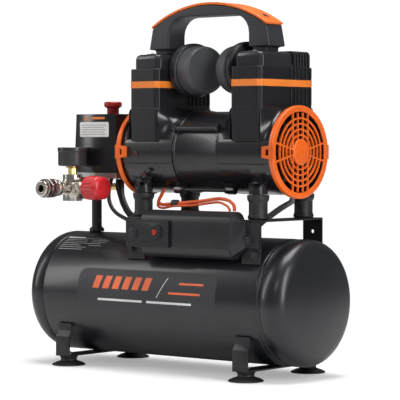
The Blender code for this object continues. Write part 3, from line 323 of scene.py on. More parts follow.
film = surface("label_film", (0.032, 0.033, 0.037), 0.5, 1500.0, 0.00002)
orange_ink = surface("orange_ink", (0.9, 0.17, 0.06), 0.5, 1500.0, 0.00001, rub=0.0)
white_ink = surface("white_ink", (0.8, 0.8, 0.8), 0.5, 1500.0, 0.00001, rub=0.0)
fit("tank_label_film", wrapped(film_rows(-120, 113, -10, 27, 12)), film)
first_bar, bar_wide, bar_step = -94, 11, 17
bars = [slanted(x, x + bar_wide, 8, 20, 5) for x in range(first_bar, first_bar + 6 * bar_step, bar_step)]
bars += [slanted(52, 92, 15, 17, 1), slanted(36, 88, 6, 8, 1)]
fit("tank_label_bars", gather(bars), orange_ink)
rules = [slanted(16, 17.2, 2, 21, 16), slanted(-84, -8, -3.2, -1.2, 0.5), slanted(0, 74, -3.2, -1.2, 0.5)]
fit("tank_label_rules", gather(rules), white_ink)
plate_film = surface("plate_film", (0.014, 0.014, 0.016), 0.45, 1500.0, 0.00002)
fit("data_plate_film", wrapped(film_rows(-182, -98, 44, 69, 3)), plate_film)
lines = []
left_column, right_column, lowest, row_gap, row_tall, ink_lift = -178, -130, 47, 2.8, 0.45, 0.26
for i in range(7):
    height = lowest + row_gap * i
    ends = [(left_column, -136 + 7 * math.sin(2.4 * i))]
    if i > 1:
        ends.append((right_column, -106 + 5 * math.sin(1.7 * i)))
    lines += [slanted(left, right, height, height + row_tall, 0, ink_lift, 2) for left, right in ends]
lines.append(slanted(left_column, -148, 64.6, 66.8, 0, ink_lift, 2))
fit("data_plate_lines", gather(lines), white_ink)


# ---------------------------------------------------------------- feet
# Steel straps welded under the tank, each standing on two black rubber suction cups that a pan-head screw
# holds from above.

def from_cad(node):
    """Copy of a CAD node's solid in millimetres, with its flat faces made whole again."""
    shape = bmesh.new()
    shape.from_mesh(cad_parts[node].data)
    shape.transform(to_frame.inverted())
    bmesh.ops.remove_doubles(shape, verts=shape.verts, dist=0.005)
    bmesh.ops.dissolve_limit(shape, angle_limit=math.radians(0.8), verts=shape.verts, edges=shape.edges)
    return shape


def follow(node, word, finish, bevel=0.0, smooth=40, body="frame"):
    """Piece with a CAD node's own shape, named after it and after how it is made."""
    fit(f"{node}_{word}", from_cad(node), finish, [node], bevel, smooth, body)


def pan_screw(centre, normal, radius=4.5):
    """Domed screw head with a socket."""
    high = radius * 0.55
    socket = radius * 0.42
    profile = [(0, 0), (0, radius), (high * 0.35, radius), (high, radius * 0.62), (high, socket)]
    profile += [(high * 0.4, socket), (high * 0.4, 0)]
    return lathe(eased(profile, radius * 0.16), centre, normal, 32)


def hex_bolt(centre, normal, radius=5.0):
    """Six-sided bolt head with a chamfered crown, on a washer."""
    rim = [(0, 0), (0, radius * 1.35), (1.0, radius * 1.35), (1.0, 0)]
    washer = lathe(eased(rim, 0.3), centre, normal, 40)
    base = Vector(centre) + Vector(normal).normalized()
    profile = [(0, 0), (0, radius), (radius * 0.62, radius), (radius * 0.8, radius * 0.82), (radius * 0.8, 0)]
    return gather([washer, lathe(profile, base, normal, 6)])


def stand(node):
    """Middle of a CAD node's base, its height and its half width."""
    low, high = corners(node)
    middle = Vector(((low.x + high.x) / 2, (low.y + high.y) / 2, low.z))
    return middle, high.z - low.z, (high.x - low.x) / 2


sheet_coat = surface("sheet_coat", (0.01, 0.0105, 0.0125), 0.34, 1300.0, 0.00005)
cup_rubber = surface("cup_rubber", (0.012, 0.012, 0.013), 0.5, 1900.0, 0.00006, rub=0.15)
bolt_steel = surface("bolt_steel", (0.5, 0.5, 0.51), 0.28, 700.0, 0.00002, metallic=1.0)
dark_bolt = surface("dark_bolt", (0.05, 0.05, 0.055), 0.3, 900.0, 0.00002, metallic=0.6)
for side in ("left", "right"):
    strap = f"foot_bracket_{side}"
    follow(strap, "coated", sheet_coat, 0.5)
    strap_low = corners(strap)[0].z
    screws = []
    for face in ("front", "back"):
        cup = f"foot_cup_{face}_{side}"
        middle, top, rim = stand(cup)
        stem = 10.6
        profile = [(top * 0.35, 0), (top * 0.28, stem), (0.3, rim - 5), (0, rim - 4), (0, rim - 0.6)]
        profile += [(0.7, rim), (1.6, rim - 0.5), (top * 0.32, rim * 0.78), (top * 0.42, stem + 3)]
        profile += [(top * 0.52, stem), (top * 0.8, stem), (top * 0.86, stem + 1.2), (top, stem + 1.2)]
        profile.append((top, 0))
        fit(f"{cup}_moulded", lathe(eased(profile, 1.2), middle, (0, 0, 1), 64), cup_rubber, [cup])
        screws.append(pan_screw(middle + Vector((0, 0, strap_low + 2.5)), (0, 0, 1), 5.0))
    fit(f"foot_screws_{side}", gather(screws), bolt_steel)


# ---------------------------------------------------------------- motor brackets and dampers
# Two inverted-U brackets of bent sheet, welded across the tank and painted with it. Each carries two rubber
# dampers, and the pump's feet are screwed down on those.

damper_rubber = surface("damper_rubber", (0.016, 0.0162, 0.018), 0.48, 1600.0, 0.00006, rub=0.15)
shell_low, shell_high = corners("motor_shell")
motor_x = (shell_low.x + shell_high.x) / 2
shaft_z = (shell_low.z + shell_high.z) / 2
for side in ("left", "right"):
    bracket = f"motor_bracket_{side}"
    follow(bracket, "coated", sheet_coat, 0.7)
    for face in ("front", "back"):
        damper = f"damper_{face}_{side}"
        middle, tall, wide = stand(damper)
        profile = [(0, 0), (0, wide - 1.2), (3.5, wide - 0.8), (6, wide - 2.2), (tall - 9, wide - 2.2)]
        profile += [(tall - 6, wide - 0.3), (tall - 0.5, wide), (tall, wide - 0.6), (tall, 0)]
        fit(f"{damper}_moulded", lathe(eased(profile, 1.2), middle, (0, 0, 1), 64), damper_rubber,
            [damper])
    low, high = corners(bracket)
    flank = (low.x + high.x) / 2 + (6 if side == "right" else -6)
    bolt = hex_bolt((flank, low.y - 0.1, high.z - 42), (0, -1, 0), 4.0)
    fit(f"bracket_bolts_{side}", bolt, dark_bolt)


# ---------------------------------------------------------------- motor
# Steel tube pressed round the laminated stator, with a rolled ridge at each end. Four long plated bolts pull
# both crankcases against it. The rotor turns on the shaft that drives both cranks and fans.

def dress(finish, *nodes):
    """Give CAD nodes that keep their own shape that finish."""
    for node in nodes:
        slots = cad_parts[node].data.materials
        slots.clear()
        slots.append(finish)


shell_coat = surface("shell_coat", (0.0105, 0.011, 0.0135), 0.28, 1200.0, 0.00003, coat=0.2)
motor_centre = Vector((motor_x, 0, shaft_z))
half = (shell_high.x - shell_low.x) / 2
outer = (shell_high.z - shell_low.z) / 2
profile = [(half, outer - 2.5), (half, outer - 0.5), (half - 0.6, outer + 0.9), (half - 3.4, outer + 0.9)]
profile += [(half - 4, outer - 0.3)]
profile = [(-along, radius) for along, radius in profile] + profile[::-1]
fit("motor_shell_rolled", lathe(eased(profile, 0.5), motor_centre, (1, 0, 0), 128), shell_coat,
    ["motor_shell"])
tie_bolts = []
bolt_circle, first_bolt, rod_radius = 57.5, 32, 2.3
length = 2 * half + 0.4
nut = [(0, 0), (0, 4.2), (0.4, 4.5), (3.2, 4.5), (3.6, 4.2), (3.6, 2)]
nut += [(length - along, radius) for along, radius in nut[::-1]]
for quarter in range(4):
    angle = math.radians(first_bolt + 90 * quarter)
    y, z = -bolt_circle * math.cos(angle), bolt_circle * math.sin(angle)
    start = motor_centre + Vector((-half - 0.2, y, z))
    tie_bolts.append(lathe(nut, start, (1, 0, 0), 6))
    rod = [(0, 0), (0, rod_radius), (length, rod_radius), (length, 0)]
    tie_bolts.append(lathe(rod, start, (1, 0, 0), 24))
fit("tie_bolts", gather(tie_bolts), dark_bolt)
winding = surface("varnished_winding", (0.24, 0.09, 0.035), 0.4, 900.0, 0.00015, coat=0.4, stretch=(1, 1, 8))
shaft_steel = surface("turned_steel", (0.52, 0.52, 0.53), 0.25, 1400.0, 0.00002, metallic=1.0,
                      stretch=(9, 1, 1))
dress(winding, "stator")
dress(shaft_steel, "rotor", "eccentric_left", "eccentric_right")


# ---------------------------------------------------------------- crankcases
# Die-cast housings on both ends of the motor: a drum for the fan, a neck that spreads from under the cowl,
# ears for the tie bolts and feet on the dampers. They part along a seam below the shaft.

def plate(outline, place, thickness, inner=None):
    """Plate from an outline in a place's X and Y, standing along its Z, with an opening if inner is given."""
    shape = bmesh.new()
    loops = []
    for points in (outline, inner or []):
        for z in (0, thickness):
            loops.append([shape.verts.new(place @ Vector((x, y, z))) for x, y in points])
    for low_loop, high_loop in (loops[:2], loops[2:]):
        for i, here in enumerate(low_loop):
            shape.faces.new((here, low_loop[i - 1], high_loop[i - 1], high_loop[i]))
    for outer_loop, inner_loop in ((loops[0], loops[2]), (loops[1], loops[3])):
        if not inner:
            shape.faces.new(outer_loop)
            continue
        for i, here in enumerate(outer_loop):
            shape.faces.new((here, outer_loop[i - 1], inner_loop[i - 1], inner_loop[i]))
    return shape


def block(low_corner, high_corner):
    """Plain bar between two corners."""
    x0, y0, z0 = low_corner
    x1, y1, z1 = high_corner
    return plate([(x0, y0), (x1, y0), (x1, y1), (x0, y1)], Matrix.Translation((0, 0, z0)), z1 - z0)


def touch(node, start, direction):
    """Place where a straight line from start first meets a CAD node."""
    shape = from_cad(node)
    place = BVHTree.FromBMesh(shape).ray_cast(Vector(start), Vector(direction))[0]
    shape.free()
    return place


def carved(shape, *cutters):
    """The shape with the cutters taken out of it."""
    things = []
    for solid in (shape, *cutters):
        bmesh.ops.recalc_face_normals(solid, faces=solid.faces)
        mesh = bpy.data.meshes.new("blank")
        solid.to_mesh(mesh)
        solid.free()
        things.append(bpy.data.objects.new("blank", mesh))
        bpy.context.scene.collection.objects.link(things[-1])
    for cutter in things[1:]:
        cut = things[0].modifiers.new("cut", "BOOLEAN")
        cut.operation = "DIFFERENCE"
        cut.solver = "EXACT"
        cut.object = cutter
    result = bmesh.new()
    result.from_mesh(things[0].evaluated_get(bpy.context.evaluated_depsgraph_get()).data)
    for thing in things:
        bpy.data.meshes.remove(thing.data)
    return result


def sector(x0, x1, inner_radius, outer_radius, start, end, steps=24):
    """Part of a ring round the shaft between two places along it and two angles."""
    points = []
    for radius, first, last in ((inner_radius, start, end), (outer_radius, end, start)):
        for i in range(steps + 1):
            angle = math.radians(first + (last - first) * i / steps)
            points.append((radius * math.cos(angle), radius * math.sin(angle)))
    return plate(points, facing((x0, 0, shaft_z), (1, 0, 0)), x1 - x0)


def shoulder(x0, reach, drum_radius, steps=40):
    """Hollow fillet that runs from the cowl's flank out along the drum."""
    first, sweep, thinning = 17, 146, 2.3
    half_wide, half_tall, diagonal = 55.6, 56.0, 76.5
    foot = drum_radius - 2
    shape = bmesh.new()
    rows = []
    for i in range(steps + 1):
        angle = math.radians(first + sweep * i / steps)
        corner = min(half_wide / max(abs(math.cos(angle)), 0.01), half_tall / math.sin(angle), diagonal)
        row = [(x0, foot)]
        for t in range(7):
            row.append((x0 + reach * t / 6, drum_radius + (corner - drum_radius) * (1 - t / 6) ** thinning))
        row.append((x0 + reach, foot))
        ring = [Vector((x, r * math.cos(angle), shaft_z + r * math.sin(angle))) for x, r in row]
        rows.append([shape.verts.new(spot) for spot in ring])
    for row, following in zip(rows, rows[1:]):
        for i, here in enumerate(row):
            shape.faces.new((here, row[i - 1], following[i - 1], following[i]))
    shape.faces.new(rows[0])
    shape.faces.new(rows[-1])
    return shape


casting = surface("pump_casting", (0.01, 0.0105, 0.013), 0.26, 800.0, 0.00008, coat=0.3)
# Near-black finish: painted shade for the crankcase seam, the handle's recess and the lid's slots, and print
# for the gauge's ticks.
shade_and_tick_black = surface("painted_shade_and_tick_ink", (0.004, 0.004, 0.005), 0.7, 900.0, 0.00002, rub=0.0)
drum, cut_radius = 54.0, 86
cylinder_off, case_near, case_far, neck_half, foot_half = 83.5, 37.5, 117.6, 23, 13
seam_drop, seam_half = 14.7, 0.35
for side, word in ((-1, "left"), (1, "right")):
    node = f"crankcase_{word}"
    cylinder_x = motor_x + side * cylinder_off
    ends = sorted((motor_x + side * case_near, motor_x + side * case_far))
    flanks = (cylinder_x - neck_half, cylinder_x + neck_half)
    foot_x = stand(f"damper_front_{word}")[0].x
    cuts = [(ends[0], flanks[0], 12, 168), (flanks[1], ends[1], 12, 168)]
    cuts += [(foot_x - foot_half, foot_x + foot_half, *angles) for angles in ((184, 218), (-38, -4))]
    cutters = [sector(x0, x1, drum + 0.05, cut_radius, start, end) for x0, x1, start, end in cuts]
    fit(f"{node}_cast", carved(from_cad(node), *cutters), casting, [node], 0.6, 35)
    reach = (flanks[0] - ends[0] - 1, ends[1] - flanks[1] - 0.5)
    fillets = gather([shoulder(flanks[0] - 1.4, -reach[0], drum), shoulder(flanks[1] + 1.4, reach[1], drum)])
    fit(f"{node}_shoulders", fillets, casting)
    # Thin near-black strips along the parting seam: painted shade in the gap between the two halves.
    seams = []
    seam_z = shaft_z - seam_drop
    near, far = sorted((motor_x + side * 40, motor_x + side * 116))
    for face in (-1, 1):
        y0, y1 = sorted((face * 51.95, face * 52.25))
        seams.append(block((near, y0, seam_z - seam_half), (far, y1, seam_z + seam_half)))
    fit(f"{node}_seam", gather(seams), shade_and_tick_black)
    screws = [pan_screw((foot_x, face * 53, shaft_z - 39), (0, 0, 1), 4.2) for face in (-1, 1)]
    fit(f"{node}_screws", gather(screws), dark_bolt)
port_ring = []
port_plug = []
for x, z in ((-40.4, 280.7), (-24.9, 255.0)):
    mouth = touch("crankcase_left", (x, -200, z), (0, 1, 0))
    ring = [(-1, 2.6), (-1, 4.2), (0.9, 4.2), (1.2, 3.8), (1.2, 2.6)]
    port_ring.append(lathe(ring, mouth, (0, -1, 0), 32))
    port_plug.append(lathe([(-1, 0), (-1, 2.7), (0.5, 2.7), (0.5, 0)], mouth, (0, -1, 0), 32))
fit("crankcase_ports", gather(port_ring), casting)
port_red = surface("port_red", (0.2, 0.01, 0.012), 0.5, 1200.0, 0.00004)
fit("crankcase_port_plugs", gather(port_plug), port_red)


# ---------------------------------------------------------------- cylinders and pistons
# Cast alloy sleeves, honed inside and clamped between crankcase and head. The wobble pistons are cast in one
# with their rods, whose rings go round the shaft. All of it only shows when the cowls are off.

cast_alloy = surface("cast_alloy", (0.42, 0.42, 0.43), 0.38, 700.0, 0.00012, metallic=1.0)
dress(cast_alloy, "cylinder_left", "cylinder_right", "piston_left", "piston_right")


# ---------------------------------------------------------------- cowls and heads
# Moulded cowls that lead the fan's air round the cylinders, each with a painted orange stripe and ribs on the
# back half of its right flank. The die-cast heads stand out of them, finned at the back.

moulded = surface("moulded_charcoal_plastic", (0.0095, 0.0098, 0.0122), 0.31, 1500.0, 0.0001)
stripe_ink = surface("stripe_orange", (0.95, 0.24, 0.03), 0.4, 1500.0, 0.00003)
head_coat = surface("head_coat", (0.017, 0.0175, 0.021), 0.27, 900.0, 0.00008, coat=0.2)
skirt_foot, skirt_tall = 297.5, 43.4
stripe_foot, stripe_tall = 366, 8.6
rib_half, fin_out, boss_y = 1.7, 2.6, -36
for word in ("left", "right"):
    node = f"shroud_{word}"
    follow(node, "moulded", moulded, 0.9)
    low, high = corners(node)
    outlines = []
    for grow in (0.35, -1.2, 0, -1.9):
        x0, x1, y0, y1 = low.x - grow, high.x + grow, low.y - grow, high.y + grow
        nip = 5 + grow * 0.4
        outlines.append([(x0 + nip, y0), (x1 - nip, y0), (x1, y0 + nip), (x1, y1 - nip), (x1 - nip, y1),
                         (x0 + nip, y1), (x0, y1 - nip), (x0, y0 + nip)])
    stripe_outer, stripe_inner, skirt_outer, skirt_inner = outlines
    skirt = plate(skirt_outer, Matrix.Translation((0, 0, skirt_foot)), skirt_tall, skirt_inner)
    skirt = carved(skirt, sector(low.x - 5, high.x + 5, 0.5, 53.3, 0, 359, 72))
    fit(f"{node}_skirt", skirt, moulded, (), 0.5)
    stripe = plate(stripe_outer, Matrix.Translation((0, 0, stripe_foot)), stripe_tall, stripe_inner)
    fit(f"{node}_stripe", stripe, stripe_ink, (), 0.15)
    ribs = []
    for z0, z1 in ((low.z + 3, stripe_foot - 1.5), (stripe_foot + 10, high.z - 0.6)):
        for y in range(8, 50, 8):
            ribs.append(block((high.x - 0.5, y - rib_half, z0), (high.x + 1.5, y + rib_half, z1)))
    fit(f"{node}_ribs", gather(ribs), moulded, (), 0.6)
    node = f"cylinder_head_{word}"
    low, high = corners(node)
    middle = (low.x + high.x) / 2
    grooves = []
    for y in range(13, 47, 6):
        grooves.append(block((middle - 4, y, high.z - 15), (high.x + 5, y + 3.4, high.z + 5)))
    fit(f"{node}_cast", carved(from_cad(node), *grooves), head_coat, [node], 1.1, 40)
    fins = []
    out, top = high.x + fin_out, high.z + 1.5
    outline = [(high.x - 8, high.z - 22), (out, high.z - 22), (out, top), (middle - 6, top)]
    outline = eased([*outline, (middle - 6, high.z - 12)], 7, True, 5)
    for y in range(17, 48, 6):
        fins.append(plate(outline, facing((0, y + 1.4, 0), (0, -1, 0)), 2.4))
    fit(f"{node}_fins", gather(fins), head_coat, (), 0.6)
    boss = [(-0.5, 5.0), (-0.5, 7.6), (0.5, 7.6), (0.8, 7.0), (0.2, 5.0)]
    boss = lathe(eased(boss, 0.2), (middle, boss_y, high.z), (0, 0, 1), 48)
    fit(f"{node}_boss", boss, head_coat)
    screw = pan_screw((middle, boss_y, high.z - 0.1), (0, 0, 1), 3.4)
    fit(f"{node}_screw", screw, dark_bolt)


# ---------------------------------------------------------------- intake filters
# Round canisters moulded in black plastic, one screwed into the side of each head. Their paler caps face each
# other and twist off the grooved ring.

filter_face = surface("filter_face", (0.075, 0.077, 0.086), 0.46, 700.0, 0.0003)
filter_ring = surface("filter_ring", (0.009, 0.0094, 0.0115), 0.38, 1500.0, 0.0001)
filter_off, filter_rise, tilt = 50.13, 105, math.radians(14.6)
level = motor_centre + Vector((0, 0, filter_rise))
for side, word in ((-1, "left"), (1, "right")):
    axis = Vector((-side * math.cos(tilt), side * math.sin(tilt), 0))
    base = level + Vector((side * filter_off, 0, 0))
    profile = [(0, 0), (0, 33), (2, 35.4), (5.4, 35.6), (5.9, 34.4), (7.1, 34.4), (7.6, 35.6), (11.6, 35.4)]
    profile += [(13, 33), (13.2, 30.2), (13.2, 0)]
    stub = lathe([(49.1, 0), (49.1, 7), (61.7, 7), (61.7, 0)], level, (side, 0, 0), 40)
    ring = gather([lathe(eased(profile, 0.7), base, axis, 96), stub])
    fit(f"intake_filter_{word}_ring", ring, filter_ring, [f"intake_filter_{word}"])
    profile = [(13, 0), (13, 31.6), (30.5, 31.2), (34.6, 30.4), (35.8, 29.2), (35.8, 27.6), (35.0, 26.8)]
    profile.append((35.0, 0))
    fit(f"intake_filter_{word}_cap", lathe(eased(profile, 0.8), base, axis, 96), filter_face)


# ---------------------------------------------------------------- handle
# Arched grip moulded in one piece with its two legs, bolted down on the heads, and an orange cover clipped
# along its top.

grip = surface("handle_plastic", (0.033, 0.034, 0.04), 0.38, 1400.0, 0.0001)
orange_plastic = surface("orange_plastic", (0.9, 0.14, 0.008), 0.36, 1500.0, 0.00006, coat=0.15)
cover_plastic = surface("cover_orange", (0.92, 0.17, 0.012), 0.34, 1500.0, 0.00006, coat=0.15)
fit("handle_moulded", from_cad("handle_frame"), grip, ["handle_frame"], 2.0, 35)
follow("handle_cover", "moulded", cover_plastic, 0.9, 35)
recess_at = touch("handle_cover", (130, 0, 600), (0, 0, -1))
arch_x, arch_drop, recess_radius = 50, 157, 7
slope = Vector((recess_at.x - arch_x, 0, arch_drop)).normalized()
turns = [math.radians(60 * i) for i in range(6)]
hexagon = [(recess_radius * math.cos(turn), recess_radius * math.sin(turn)) for turn in turns]
smaller = [(x * 0.8, y * 0.8) for x, y in hexagon]
place = facing(recess_at - slope * 0.4, slope, (0, 1, 0))
fit("handle_recess_rim", plate(hexagon, place, 0.8, smaller), cover_plastic, (), 0.2)
# Near-black sheet on the recess's floor: painted shade inside the hexagonal recess.
fit("handle_recess", plate(smaller, place, 0.45), shade_and_tick_black)


# ---------------------------------------------------------------- fans and grilles
# A moulded fan on each shaft end behind an orange grille, which snaps on the drum with a windowed tab front
# and back. The middle is a plain raised boss.

fan_blades = surface("fan_plastic_black", (0.02, 0.02, 0.022), 0.45, 1400.0, 0.0001)
dress(fan_blades, "fan_left", "fan_right")
sunk, bar_half, bar_deep = 2.8, 1.1, 2.5
for side, word in ((-1, "left"), (1, "right")):
    node = f"grille_{word}"
    low, high = corners(node)
    middle = Vector((low.x if side < 0 else high.x, 0, shaft_z))
    out = (side, 0, 0)
    behind = facing(middle - Vector(out) * sunk, out)
    ring = [(-7.0, 55.4), (-7.0, 58.3), (-1.6, 58.5), (-0.4, 57.6), (0, 55.6), (-0.4, 51.4), (-1.4, 50.6)]
    ring += [(-sunk, 50.6), (-sunk, 55.4)]
    pieces = [lathe(eased(ring, 0.5, True), middle, out, 128)]
    boss = [(-sunk, 0), (-sunk, 16.6), (0.4, 16.6), (1.6, 15.4), (2.0, 13.4), (2.0, 0)]
    pieces.append(lathe(eased(boss, 0.6), middle, out, 64))
    for radius in (20.4, 27.4, 34.4, 41.4):
        arc = [(-sunk, radius), (-sunk, radius + 2.3), (-0.4, radius + 2.3), (-0.4, radius)]
        pieces.append(lathe(arc, middle, out, 96))
    for degrees in (13, -13, 167, 193):
        spoke = [(15, -bar_half), (52, -bar_half), (52, bar_half), (15, bar_half)]
        pieces.append(plate(spoke, behind @ Matrix.Rotation(math.radians(degrees), 4, "Z"), bar_deep))
    for y in (-15.5, -5.2, 5.2, 15.5):
        start = math.sqrt(16.2 ** 2 - y ** 2)
        for direction in (1, -1):
            z0, z1 = sorted((direction * start, direction * 49.5))
            bar = [(y - bar_half, z0), (y + bar_half, z0), (y + bar_half, z1), (y - bar_half, z1)]
            pieces.append(plate(bar, behind, bar_deep))
    for face in (-1, 1):
        place = facing(middle + Vector((-side * 8.5, face * 54.4, 0)), (0, face, 0))
        left, right = (7, 9) if side * face < 0 else (9, 7)
        outline = [(-9, -left), (9, -right), (9, right), (-9, left)]
        window = [(-4, -3.6), (2.6, -3.6), (2.6, 3.6), (-4, 3.6)]
        pieces.append(plate(outline, place, 3.8, window))
    fit(f"{node}_moulded", gather(pieces), orange_plastic, [node], 0.3, 40)


# ---------------------------------------------------------------- electrical box
# Moulded box in front of the motor for the capacitor and the overload cut-out. Its left end has a screwed lid
# with the red reset button, and its right end tapers to an ear bolted on the bracket.

box_plastic = surface("box_plastic", (0.012, 0.0124, 0.015), 0.35, 1300.0, 0.00012)
follow("electrical_box", "moulded", box_plastic, 1.0, 35)
follow("electrical_box_lid", "moulded", box_plastic, 0.8, 35)
lid_bolt = touch("electrical_box_lid", (-16, -200, 180), (0, 1, 0))
ear_bolt = touch("electrical_box", (157, -200, 176), (0, 1, 0))
bolts = gather([hex_bolt(lid_bolt, (0, -1, 0), 5.2), hex_bolt(ear_bolt, (0, -1, 0), 4.6)])
fit("electrical_box_bolts", bolts, dark_bolt)
# Two near-black films on the lid's face: painted shade inside its slots.
slots = []
outline = eased([(-3.5, -1), (3.5, -1), (3.5, 1), (-3.5, 1)], 0.9, True)
for x in (2, 34):
    slot_at = touch("electrical_box_lid", (x, -200, 169), (0, 1, 0))
    slots.append(plate(outline, facing(slot_at, (0, -1, 0)), 0.1))
fit("electrical_box_slots", gather(slots), shade_and_tick_black)
ribs = []
for i in range(7):
    rib_z = 165 + 4.4 * i
    rib_at = touch("electrical_box", (120, -200, rib_z), (0, 1, 0))
    ribs.append(block((104 + 3 * (i % 3), rib_at.y - 0.7, rib_z - 0.5), (136, rib_at.y + 0.5, rib_z + 0.5)))
fit("electrical_box_ribs", gather(ribs), box_plastic, (), 0.3)
red_plastic = surface("red_plastic", (0.42, 0.012, 0.014), 0.36, 1500.0, 0.00005, coat=0.15)
low, high = corners("reset_button")
middle = Vector(((low.x + high.x) / 2, high.y, (low.z + high.z) / 2))
long, wide = high.y - low.y, (high.x - low.x) / 2
button = [(0, 0), (0, wide), (long - 0.5, wide), (long, wide - 1), (long, 0)]
fit("reset_button_moulded", lathe(eased(button, 0.5), middle, (0, -1, 0), 40), red_plastic,
    ["reset_button"], body="reset_button")
can_metal = surface("capacitor_can", (0.6, 0.6, 0.58), 0.45, 1200.0, 0.00003, metallic=0.2)
dress(can_metal, "capacitor")


# ---------------------------------------------------------------- pressure switch
# Welded stand pipe, die-cast base and moulded cover, with the pull button that starts and stops the pump. A
# plain pale sticker with faint ruled lines and a small orange sign is stuck on its front.

pipe_coat = surface("pipe_coat", (0.012, 0.012, 0.013), 0.34, 1200.0, 0.00004)
follow("stand_pipe", "coated", pipe_coat, 0.4)
follow("pressure_switch_base", "cast", cast_alloy, 0.7)
gloss = surface("switch_cover_plastic", (0.015, 0.015, 0.017), 0.22, 1500.0, 0.00006, coat=0.4)
follow("pressure_switch_cover", "moulded", gloss, 2.2, 35)
low, high = corners("pressure_switch_cover")
middle_x = (low.x + high.x) / 2
upper = touch("pressure_switch_cover", (middle_x, -200, 322), (0, 1, 0))
lower = touch("pressure_switch_cover", (middle_x, -200, 300), (0, 1, 0))
rise = (upper - lower).normalized()
front = rise.cross(Vector((1, 0, 0)))
front = front if front.y < 0 else -front


def on_front(x, z, lift):
    """Place on the cover's front face."""
    share = (z - lower.z) / (upper.z - lower.z)
    return facing(lower + (upper - lower) * share + Vector((x - middle_x, 0, 0)) + front * lift, front, rise)


sticker_film = surface("sticker_film", (0.93, 0.92, 0.9), 0.42, 1500.0, 0.00002, rub=0.0)
faint_ink = surface("faint_ink", (0.3, 0.3, 0.3), 0.5, 1500.0, 0.00001, rub=0.0)
sticker_half = 26
outline = eased([(-sticker_half, -10), (sticker_half, -10), (sticker_half, 10), (-sticker_half, 10)], 2, True)
fit("switch_sticker", plate(outline, on_front(middle_x, 313, 0.02), 0.12), sticker_film)
lines = []
for i in range(5):
    start, end = 3 - sticker_half, sticker_half - 6 - 3 * (i % 2)
    row = [(start, -0.35), (end, -0.35), (end, 0.35), (start, 0.35)]
    lines.append(plate(row, on_front(middle_x, 306.5 + 3.1 * i, 0.16), 0.03))
fit("switch_sticker_lines", gather(lines), faint_ink)
sign = [plate([(-4, -3), (4, -3), (0, 4)], on_front(middle_x - 14, 328, 0.05), 0.1)]
sign.append(plate([(-11, -1.4), (13, -1.4), (13, 1.8), (-11, 1.8)], on_front(middle_x + 6, 328, 0.05), 0.1))
fit("switch_sign", gather(sign), stripe_ink)
middle, tall, wide = stand("power_button")
knob = [(0, 0), (0, wide - 4), (tall - 9, wide - 4), (tall - 7, wide - 0.6), (tall - 5.6, wide)]
knob.append((tall - 1.6, wide))
knob += [(tall - 0.3, wide - 1.6), (tall - 0.1, wide - 3.4), (tall - 1.2, wide - 4.4), (tall - 1.2, 0)]
fit("power_button_moulded", lathe(eased(knob, 0.8), middle, (0, 0, 1), 72), red_plastic,
    ["power_button"], body="power_button")


# ---------------------------------------------------------------- regulator and gauge
# Plated regulator in front of the switch, with a ribbed red knob on its right, and a dial gauge facing up on
# a brass stem. The gauge's steel case has a rolled bezel over a clear lens.

knob_red = surface("knob_red", (0.68, 0.022, 0.03), 0.32, 1500.0, 0.00005, coat=0.2)
nickel = surface("nickel_plate", (0.74, 0.69, 0.63), 0.2, 900.0, 0.00004, metallic=1.0)
brass = surface("brass", (0.72, 0.52, 0.22), 0.28, 900.0, 0.00004, metallic=1.0)
fit("regulator_plated", from_cad("regulator_body"), nickel, ["regulator_body"], 0.8, 35)
low, high = corners("regulator_knob")
middle = Vector((low.x, (low.y + high.y) / 2, (low.z + high.z) / 2))
long, wide = high.x - low.x, (high.z - low.z) / 2 + 0.15
knob = [(0, 0), (0, wide - 1.4), (1, wide - 0.4), (2.6, wide - 0.4), (3.2, wide), (9, wide), (15, wide)]
knob += [(20, wide), (21, wide - 0.5), (22.4, wide - 1.6), (23.4, wide - 1.4), (24, wide - 0.9)]
knob += [(long - 1.6, wide - 1.2), (long - 0.2, wide - 3.2), (long, wide - 5), (long - 0.8, 6)]
knob.append((long - 0.8, 0))
fit("regulator_knob_moulded", lathe(knob, middle, (1, 0, 0), 216, 18, 1.7, (3.1, 20.5)), knob_red,
    ["regulator_knob"], body="regulator_knob")
middle, tall, wide = stand("gauge")
case_steel = surface("gauge_case_black", (0.035, 0.035, 0.037), 0.3, 1200.0, 0.00004, coat=0.2)
case = [(11, 0), (11, wide - 2.5), (12.5, wide - 0.6), (tall - 6, wide - 0.6), (tall - 5.4, wide)]
case += [(tall - 0.6, wide), (tall, wide - 0.6), (tall, wide - 2.0), (tall - 6, wide - 2.0), (tall - 6, 0)]
fit("gauge_case", lathe(eased(case, 0.5), middle, (0, 0, 1), 96), case_steel, ["gauge"])
stem = [(0, 0), (0, 6.4), (11.2, 6.4), (11.2, 0)]
collar = [(8.4, 0), (8.4, 8.6), (11.2, 8.6), (11.2, 0)]
fit("gauge_stem", gather([lathe(stem, middle, (0, 0, 1), 6), lathe(collar, middle, (0, 0, 1), 40)]), brass,
    (), 0.3)
dial = surface("dial_white", (0.8, 0.8, 0.78), 0.5, 1500.0, 0.00001, rub=0.0)
face_z = tall - 5.95
disc = [(face_z, 0), (face_z, wide - 2.1), (face_z + 0.1, wide - 2.1), (face_z + 0.1, 0)]
fit("gauge_dial", lathe(disc, middle, (0, 0, 1), 72), dial)
ticks = []
zero_at, tick_step, reach = 225, 10, wide - 3
for i in range(28):
    angle = math.radians(zero_at - tick_step * i)
    long = 3.4 if i % 3 == 0 else 2.0
    place = Matrix.Translation(middle + Vector((0, 0, face_z + 0.1))) @ Matrix.Rotation(angle, 4, "Z")
    tick = [(reach - long, -0.2), (reach, -0.2), (reach, 0.2), (reach - long, 0.2)]
    ticks.append(plate(tick, place, 0.04))
fit("gauge_ticks", gather(ticks), shade_and_tick_black)
dress(red_plastic, "gauge_needle")
clear_lens = bpy.data.materials.new("clear_lens")
clear_lens.use_nodes = True
tree = clear_lens.node_tree
clear = tree.nodes["Principled BSDF"]
clear.inputs["Alpha"].default_value = 0.12
